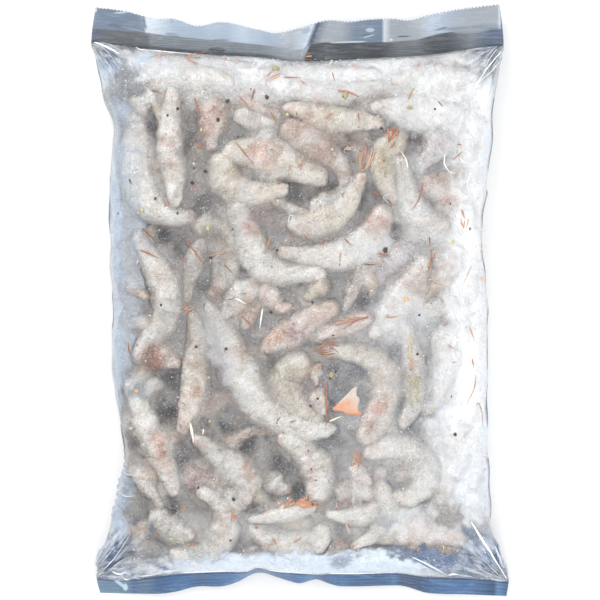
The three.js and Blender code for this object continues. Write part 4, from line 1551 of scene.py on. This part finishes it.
def top_seal_piece(material):
    """The ribbed weld and the lip above it, ruffled and pleated, with a pinked rim."""
    bm, across, out = seal_grid(*TOP_SEAL_GRID)
    x, y = seal_outline(across, out, top_seal, top_lip)
    z = SEAL_HEIGHT + (TOP_LIP_HEIGHT - SEAL_HEIGHT) * out + ruffle(x) * out
    rim = ease(out, 0.97, 1)
    y = y + PINKING_DEPTH * rim * (np.sign(np.sin(x * 2 * np.pi / PINKING_PITCH)) - 1)
    height = y - top_seal(x)
    band = 1 - ease(y, BAND_TOP(x) - 0.35, BAND_TOP(x) + 0.35)
    ribs = 0.5 + 0.5 * np.sin(height * 2 * np.pi / RIB_PITCH)
    z = z + 0.09 * band * ribs * ease(out, 0, 0.04)
    pleat = x - 1 - PLEAT_SLANT * (y - PLEAT_FOOT)
    z = z + 0.9 * np.exp(-(pleat / 1.1) ** 2) * ease(out, 0.02, 0.3)
    z = z - 0.5 * ease(pleat, 0, 5) * (1 - ease(pleat, 5, 14))
    rise = y - np.where(y > BAND_TOP(x), PLEAT_HEAD, PLEAT_FOOT)
    slanted = x - PLEAT_SLANT * rise * field(x, y, 5, 125, 11, 30)
    # Lighter lines along the ribs: painted highlights
    ribbed = field(x, y, -41, 124, 34, 30) * 0.42 + field(x, y, 52, 122, 10, 20) * 0.25
    ribbed = (ribbed + 0.05) * ribs
    seam = (1 - ease(height, 0.7, 2.0)) * field(x, y, -46, 120, 42, 30) * 0.8
    # The band's and the lip's colours are painted reflections
    welded = tones_along(slanted, BAND_REFLECTIONS)
    for tone, share in (("silver", ribbed), ("soot", seam)):
        welded = laid_over(welded, toned(tone), share[:, None])
    lip = tones_along(slanted, LIP_REFLECTIONS)
    base = welded * band[:, None] + lip * (1 - band[:, None])
    colours = with_painted_fields(x, y, base, TOP_PAINTED_FIELDS, TOP_SHARE)
    return seal_piece(bm, np.stack([x, y, z], axis=-1), colours, "top_seal", material)


def bottom_seal_piece(material):
    """The lower weld, which droops towards the table in wide waves."""
    bm, across, out = seal_grid(*BOTTOM_SEAL_GRID)
    x, y = seal_outline(across, out, bottom_seal, bottom_lip)
    z = SEAL_HEIGHT + (BOTTOM_LIP_HEIGHT - SEAL_HEIGHT) * out + ruffle(x) * out
    z = z + 0.12 * np.sin(out * 2 * np.pi * 4) * ease(out, 0, 0.1)
    # Painted reflections along the weld, darker along its inner edge
    base = tones_along(x, BOTTOM_REFLECTIONS)
    seam = (1 - ease(bottom_seal(x) - y, 0.2, 0.9))[:, None] * 0.8
    base = laid_over(base, toned("deep"), seam)
    colours = with_painted_fields(x, y, base, BOTTOM_PAINTED_FIELDS, BOTTOM_SHARE)
    return seal_piece(bm, np.stack([x, y, z], axis=-1), colours, "bottom_seal", material)


def seal_piece(bm, places, colours, name, material):
    """Gives a seal's sheet its places, its thickness and its colours."""
    set_places(bm, places)
    bmesh.ops.recalc_face_normals(bm, faces=bm.faces)
    if sum(face.normal.z for face in bm.faces) < 0:
        bmesh.ops.reverse_faces(bm, faces=bm.faces)
    tint = bm.verts.layers.float_color.new("tint")
    for vertex, colour in zip(bm.verts, colours):
        vertex[tint] = colour
    bmesh.ops.solidify(bm, geom=bm.faces[:], thickness=FILM_THICKNESS * MM)
    return finish_piece(bm, name, material)


# What lies loose between the film and the filling.

def stained(count, stain):
    """One stain's linear colour for each of some points."""
    return np.tile(linear(STAINS[stain]), (count, 1))


def resting_height(tree, x, y, below):
    """A height just under the film at a place, in millimetres."""
    hit = tree.ray_cast(Vector((x * MM, y * MM, 0.1)), Vector((0, 0, -1)))
    return (hit[0].z / MM if hit[0] else SEAL_HEIGHT) - below


def resting(tree, places, below):
    """Places of x and y, with their heights just under the film."""
    heights = [resting_height(tree, x, y, below) for x, y in places]
    return np.column_stack([places, heights])


def laid_line(tree, points, count, below):
    """A smooth line through some points, lying just under the film."""
    return resting(tree, spline(points, count), below)


def strand(ball, line, thickness, flatness=1.0):
    """A leg or feeler: thin, tapered to both ends."""
    radii = np.full(len(line), thickness / 2)
    points, _, _ = swept(ball, line, radii, flatness)
    return points


def joined_piece(name, ball, parts, material, attribute="stain"):
    """One mesh of many copies of a ball, each as (places, colour of each point)."""
    bm = bmesh.new()
    for _ in parts:
        bm.from_mesh(ball)
    piece = finish_piece(bm, name, material)
    places = np.vstack([part[0] for part in parts])
    places[:, 2] = np.maximum(places[:, 2], 0.1)
    piece.data.vertices.foreach_set("co", (places * MM).ravel())
    piece.data.update()
    if attribute:
        paint(piece.data, attribute, np.vstack([part[1] for part in parts]))
    return piece


def leg_parts(tree, ball):
    """The legs and feelers that can be told apart, then small ones strewn between."""
    draw = np.random.default_rng(31)
    parts = []
    for stain, thickness, points in SLIVERS:
        line = laid_line(tree, points, STRAND_POINTS, 0.05)
        parts.append((strand(ball, line, thickness), stained(len(ball), stain)))
    for _ in range(STREWN_LEGS):
        x = draw.uniform(*STREWN_X)
        y = draw.uniform(-120, 112)
        angle = draw.uniform(0, np.pi)
        length = draw.uniform(1.2, 4.2)
        reach = np.array([np.cos(angle), np.sin(angle)]) * length / 2
        bow = np.array([-reach[1], reach[0]]) * draw.uniform(-0.4, 0.4)
        middle = np.array([x, y])
        line = laid_line(tree, [middle - reach, middle + bow, middle + reach], STRAND_POINTS, 0.2)
        stain = draw.choice(["rust", "orange", "tan", "brown", "cream"])
        parts.append((strand(ball, line, draw.uniform(0.25, 0.5)), stained(len(ball), stain)))
    return parts


def shell_parts(tree, ball):
    """Torn shells and tail fans as bundles of flat blades."""
    draw = np.random.default_rng(37)
    parts = []
    for stain, spring, heading, length, fan, count in SHELLS:
        for number in range(count):
            share = number / (count - 0.99) - 0.5
            angle = np.radians(heading + fan * share + draw.uniform(-4, 4))
            reach = length * draw.uniform(0.7, 1.0)
            way = np.array([np.cos(angle), np.sin(angle)])
            beside = np.array([-way[1], way[0]]) * reach * 0.08 * draw.uniform(-1, 1)
            start = np.array(spring, float) + draw.uniform(-0.7, 0.7, 2)
            points = [start, start + way * reach / 2 + beside, start + way * reach]
            line = laid_line(tree, points, STRAND_POINTS, 0.1)
            blade = strand(ball, line[::-1], draw.uniform(0.4, 1.2), 0.3)
            hue = draw.choice([stain, stain, "orange", "tan", "rust"])
            parts.append((blade, stained(len(ball), hue)))
    return parts


def plate_parts(tree, slab):
    """Thin bent plates of shell, each a slab drawn out between its four corners."""
    parts = []
    for foot, top, corners in PLATES:
        left, right, far_right, far_left = np.array(corners, float)
        across = (slab[:, :1] + 1) / 2
        up = (slab[:, 1:2] + 1) / 2
        places = (left * (1 - across) + right * across) * (1 - up)
        places = places + (far_left * (1 - across) + far_right * across) * up
        places = places + 0.5 * unevenness(np.hstack([places, 0 * up]), 7, 71)[:, None]
        ragged = 0.15 * unevenness(np.hstack([places, 0 * up]), 4, 72)[:, None]
        share = ease(up + ragged, 0.1, 0.6)
        colours = np.array(linear(STAINS[foot])) * (1 - share)
        colours = colours + np.array(linear(STAINS[top])) * share
        parts.append((resting(tree, places, 0.02) + slab * (0, 0, 0.15), colours))
    return parts


def speck_parts(tree, ball):
    """Eye spots and coloured bits as flattened, uneven beads, and finer ones between."""
    draw = np.random.default_rng(41)
    finer = [
        (draw.choice(["dark", "brown", "rust", "khaki", "tan"]), draw.uniform(*STREWN_X),
         draw.uniform(-122, 112), draw.uniform(0.2, 0.45))
        for _ in range(STREWN_SPECKS)
    ]
    parts = []
    for number, (stain, x, y, radius) in enumerate([*SPECKS, *finer]):
        z = resting_height(tree, x, y, 0.05)
        stretch = draw.uniform(0.75, 1.25, 3) * (1, 1, 0.35)
        bead = ball * radius * 0.85 * stretch
        bead = bead * (1 + 0.18 * unevenness(bead, radius * 1.6, 50 + number))[:, None]
        parts.append((bead + (x, y, z), stained(len(ball), stain)))
    return parts


def grain_places(tree, draw, count):
    """Places under the film, more of them where the frost is thick."""
    places = []
    while len(places) < count:
        x = draw.uniform(-88, 90)
        y = draw.uniform(-130, 117)
        if draw.uniform() > 0.12 + 0.88 * frost_and_light_at(x, y) ** 1.5:
            continue
        places.append((x, y, resting_height(tree, x, y, 0.25)))
    return np.array(places)


def frost_parts(tree, ball):
    """Loose ice grains of a few faces each."""
    draw = np.random.default_rng(43)
    parts = []
    for place in grain_places(tree, draw, ICE_GRAINS):
        radius = draw.uniform(0.12, 0.34) * draw.choice([1, 1, 1, 1.7])
        stretch = draw.uniform(0.6, 1.4, 3) * (1, 1, 0.6)
        parts.append((ball * radius * stretch + place, None))
    return parts


def rim_highlight_parts(tree, ball):
    """Wet rims as thin closed rings of white ice: painted highlights."""
    parts = []
    for x, y, radius in WET_RIM_HIGHLIGHTS:
        angle = np.linspace(0, 1.96 * np.pi, LINE_POINTS)
        wobble = radius * (1 + 0.16 * np.sin(3 * angle + x))
        ring = np.stack([x + wobble * np.cos(angle), y + wobble * np.sin(angle)], axis=-1)
        line = resting(tree, ring, 0.15)
        parts.append((strand(ball, line, 0.6, 0.6), None))
    return parts


def crease_parts(tree, ball):
    """Doubled film that stands up from the bag along its creases."""
    parts = []
    for tone, width, height, points in folds():
        line = laid_line(tree, points, CREASE_POINTS, -0.05)
        ridge = strand(ball, line, width * 2, 0.5 * height / width)
        parts.append((ridge, np.tile(toned(tone), (len(ball), 1))))
    for side, first, last in EDGE_LINES:
        ys = np.linspace(first, last, CREASE_POINTS)
        line = np.array([side_place(tree, side, y) for y in ys])
        edge = strand(ball, line, EDGE_LINE_WIDTH)
        parts.append((edge, np.tile(toned("slate"), (len(ball), 1))))
    return parts


def side_place(tree, side, y):
    """Where the film is at its widest on the right (1) or left (-1), in millimetres."""
    outside = Vector((side * 2 * CORNER_X, y, SIDE_HEIGHT)) * MM
    hit = tree.ray_cast(outside, Vector((-side, 0, 0)))
    return np.array(hit[0]) / MM


# What a user can change.

class ShrimpBagFlesh(bpy.types.PropertyGroup):
    """The shrimp and the ice between them."""
    glaze: bpy.props.FloatProperty(
        name="Glaze", description="How wet the ice on the shrimp is", default=0.1, min=0, max=1,
        subtype="FACTOR")
    frost: bpy.props.FloatVectorProperty(
        name="Frost", description="Colour of the frost, 0 to 255", default=(238, 238, 238),
        min=0, max=255)
    # Colour of the cloudy ice, which also paints shade on deep flesh and on the ice core
    fog_and_shade: bpy.props.FloatVectorProperty(
        name="Fog", description="Colour of the cloudy ice, 0 to 255", default=(158, 152, 149),
        min=0, max=255)


class ShrimpBagFilm(bpy.types.PropertyGroup):
    """The clear film and its seals."""
    sag: bpy.props.FloatProperty(
        name="Sag", description="How far the film sinks between shrimp, in mm a step", default=0.03,
        min=0, max=0.3)
    gloss_roughness: bpy.props.FloatProperty(
        name="Gloss roughness", description="Blur of the film's highlights", default=0.12,
        min=0, max=1, subtype="FACTOR")
    clouding: bpy.props.FloatProperty(
        name="Clouding", description="How much of its veil the film shows", default=1.0,
        min=0, max=2)
    streaks: bpy.props.FloatProperty(
        name="Streaks", description="Pale streaks in the welds", default=0.12, min=0, max=1,
        subtype="FACTOR")


class ShrimpBagStage(bpy.types.PropertyGroup):
    """The floor, the lights and the camera."""
    floor: bpy.props.FloatVectorProperty(
        name="Floor", description="Colour of the floor", default=(0.96, 0.96, 0.96, 1.0), size=4,
        subtype="COLOR", min=0, max=1)
    sky: bpy.props.FloatProperty(
        name="Sky", description="Strength of the light from all round", default=0.82, min=0, max=4)
    key: bpy.props.FloatProperty(
        name="Key light", description="Power of the large lamp", default=19.0, min=0, unit="POWER")
    camera_height: bpy.props.FloatProperty(
        name="Camera height", description="Height of the camera over the table", default=4.0,
        unit="LENGTH", subtype="DISTANCE")
    shown_width: bpy.props.FloatProperty(
        name="Shown width", description="Width of the picture at the height of the seals",
        default=0.291, unit="LENGTH", subtype="DISTANCE")


# One operator for each group of pieces.

class SHRIMPBAG_OT_filling(bpy.types.Operator):
    """Make the shrimp, layer by layer, and the ice core"""
    bl_idname = "shrimp_bag.filling"
    bl_label = "Filling"

    def execute(self, context):
        look = context.scene.shrimp_bag_flesh
        flesh = flesh_material("frosted flesh", look.frost, look.fog_and_shade, look.glaze)
        # The ice core's grey is cloudy ice and painted shade
        ice = ice_material("cloudy ice", look.fog_and_shade, look.frost, 0.25)
        tree = bag_tree()
        top, beneath = traced_shrimp(tree)
        deep = spots(np.linspace(-74, 74, 8), np.linspace(-116, 102, 12))
        sides = spots((-80, 81), np.linspace(-112, 100, 13), 18)
        ends = spots(np.linspace(-76, 76, 6), (-117, 106), 14)
        behind = spots(np.linspace(-74, 74, 7), np.linspace(-112, 100, 12))
        middle = loose_shrimp(tree, 11, deep, 1, (4.0, 9.0), (12.5, 16))
        middle += loose_shrimp(tree, 12, sides, 0, (0, 0), (12, 15), np.pi / 2)
        middle += loose_shrimp(tree, 13, ends, 0, (0, 0), (11, 14), 0)
        back = loose_shrimp(tree, 14, behind, -1, (0, 1.5), (12.5, 16))
        shrimp_piece("shrimp_front", top, FRONT_BALL, flesh, tree)
        ball, parts = belly_legs(top)
        pale_legs = litter_material("belly legs", 0.5, 0.3)
        joined_piece("belly_legs", ball, parts, pale_legs)
        shrimp_piece("shrimp_under", beneath, UNDER_BALL, flesh, tree)
        shrimp_piece("shrimp_middle", middle, MIDDLE_BALL, flesh, tree)
        shrimp_piece("shrimp_back", back, BACK_BALL, flesh, tree)
        core_piece(ice)
        return {"FINISHED"}


class SHRIMPBAG_OT_film(bpy.types.Operator):
    """Drape the clear film over the filling"""
    bl_idname = "shrimp_bag.film"
    bl_label = "Film"

    def execute(self, context):
        look = context.scene.shrimp_bag_film
        material = film_material("clear film", look.gloss_roughness, look.clouding)
        film_piece(material, look.sag)
        return {"FINISHED"}


class SHRIMPBAG_OT_seals(bpy.types.Operator):
    """Make the welded seals, their lips and the creases that run from them"""
    bl_idname = "shrimp_bag.seals"
    bl_label = "Seals"

    def execute(self, context):
        look = context.scene.shrimp_bag_film
        weld = seal_material("welded film", look.streaks)
        top_seal_piece(weld)
        bottom_seal_piece(weld)
        ball = ball_mesh(8, 32)
        tree = tree_of("clear_film")
        parts = crease_parts(tree, places_of(ball) * MM)
        creased = crease_material("creased film")
        joined_piece("film_creases", ball, parts, creased, "tint")
        return {"FINISHED"}


class SHRIMPBAG_OT_litter(bpy.types.Operator):
    """Strew legs, feelers, shells, specks and frost under the film"""
    bl_idname = "shrimp_bag.litter"
    bl_label = "Shell, legs and frost"

    def execute(self, context):
        look = context.scene.shrimp_bag_flesh
        tree = tree_of("clear_film")
        shell = litter_material("shell scraps", 0.4, 0.3)
        spots_material = litter_material("specks", 0.3, 0.05)
        ice = ice_material("frost grains", look.frost, (255, 255, 255), 1.0)
        fine = ball_mesh(6, 10)
        flat = ball_mesh(8, 12)
        bead = ball_mesh(8, 6)
        long_ball = ball_mesh(6, 40)
        grain = icy_grain()
        for name, ball, make, material, slot, attribute in (
            ("legs_and_feelers", fine, leg_parts, shell, "shell_scrap", "stain"),
            ("shell_scraps", flat, shell_parts, shell, "shell_scrap", "stain"),
            ("shell_plates", slab_mesh(), plate_parts, shell, "shell_scrap", "stain"),
            ("specks", bead, speck_parts, spots_material, "shell_scrap", "stain"),
            ("frost_grains", grain, frost_parts, ice, "ice_frost", None),
            ("wet_rims", long_ball, rim_highlight_parts, ice, "ice_frost", None),
        ):
            parts = make(tree, places_of(ball) * MM)
            joined_piece(name, ball, parts, material, attribute)
        return {"FINISHED"}


FLOOR_REACH = 40  # metres each way, so that its rim never shows
SKY_COLOUR = (0.97, 0.985, 1, 1)
# The lamps: name, place in metres, size, share of the key light's power.
LAMPS = (
    ("key", (-0.75, 0.85, 1.3), 0.9, 1),
    ("fill", (0.6, -0.75, 1.4), 1.2, 0.8),
)


class SHRIMPBAG_OT_stage(bpy.types.Operator):
    """Set a pale floor, soft light and a camera that looks straight down"""
    bl_idname = "shrimp_bag.stage"
    bl_label = "Stage"

    def execute(self, context):
        look = context.scene.shrimp_bag_stage
        scene = context.scene
        scene.view_settings.view_transform = "Standard"
        bm = bmesh.new()
        bmesh.ops.create_grid(bm, x_segments=1, y_segments=1, size=FLOOR_REACH)
        mesh = mesh_of(bm, "floor")
        mesh.materials.append(floor_material("pale floor", look.floor))
        floor = bpy.data.objects.new("floor", mesh)
        scene.collection.objects.link(floor)
        world = bpy.data.worlds.new("soft sky")
        world.use_nodes = True
        background = world.node_tree.nodes["Background"]
        background.inputs["Color"].default_value = SKY_COLOUR
        background.inputs["Strength"].default_value = look.sky
        scene.world = world
        for name, place, size, share in LAMPS:
            lamp = bpy.data.lights.new(name, "AREA")
            lamp.shape = "SQUARE"
            lamp.size = size
            lamp.energy = look.key * share
            holder = bpy.data.objects.new(name, lamp)
            holder.location = place
            holder.rotation_euler = (-Vector(place)).to_track_quat("-Z", "Y").to_euler()
            holder.visible_camera = False
            scene.collection.objects.link(holder)
        camera = bpy.data.cameras.new("camera")
        holder = bpy.data.objects.new("camera", camera)
        holder.location = (0, 0, look.camera_height)
        distance = look.camera_height - SEAL_HEIGHT * MM
        camera.sensor_width = 36
        camera.lens = camera.sensor_width * distance / look.shown_width
        camera.clip_end = 100
        scene.collection.objects.link(holder)
        scene.camera = holder
        return {"FINISHED"}


OPERATORS = (
    SHRIMPBAG_OT_filling,
    SHRIMPBAG_OT_film,
    SHRIMPBAG_OT_seals,
    SHRIMPBAG_OT_litter,
    SHRIMPBAG_OT_stage,
)


class SHRIMPBAG_PT_panel(bpy.types.Panel):
    """Lists the sizes and colours, and the steps that make the bag"""
    bl_idname = "SHRIMPBAG_PT_panel"
    bl_label = "Shrimp bag"
    bl_space_type = "VIEW_3D"
    bl_region_type = "UI"
    bl_category = "Shrimp bag"

    def draw(self, context):
        for group in GROUPS:
            values = getattr(context.scene, GROUPS[group])
            box = self.layout.box()
            for name in group.__annotations__:
                box.prop(values, name)
        for operator in OPERATORS:
            self.layout.operator(operator.bl_idname)


GROUPS = {
    ShrimpBagFlesh: "shrimp_bag_flesh",
    ShrimpBagFilm: "shrimp_bag_film",
    ShrimpBagStage: "shrimp_bag_stage",
}
CLASSES = (*GROUPS, *OPERATORS, SHRIMPBAG_PT_panel)


def register():
    for each in CLASSES:
        bpy.utils.register_class(each)
    for group, name in GROUPS.items():
        setattr(bpy.types.Scene, name, bpy.props.PointerProperty(type=group))


def unregister():
    for name in GROUPS.values():
        delattr(bpy.types.Scene, name)
    for each in reversed(CLASSES):
        bpy.utils.unregister_class(each)


def main():
    register()
    for operator in OPERATORS:
        group, step = operator.bl_idname.split(".")
        getattr(getattr(bpy.ops, group), step)()


if __name__ == "__main__":
    main()
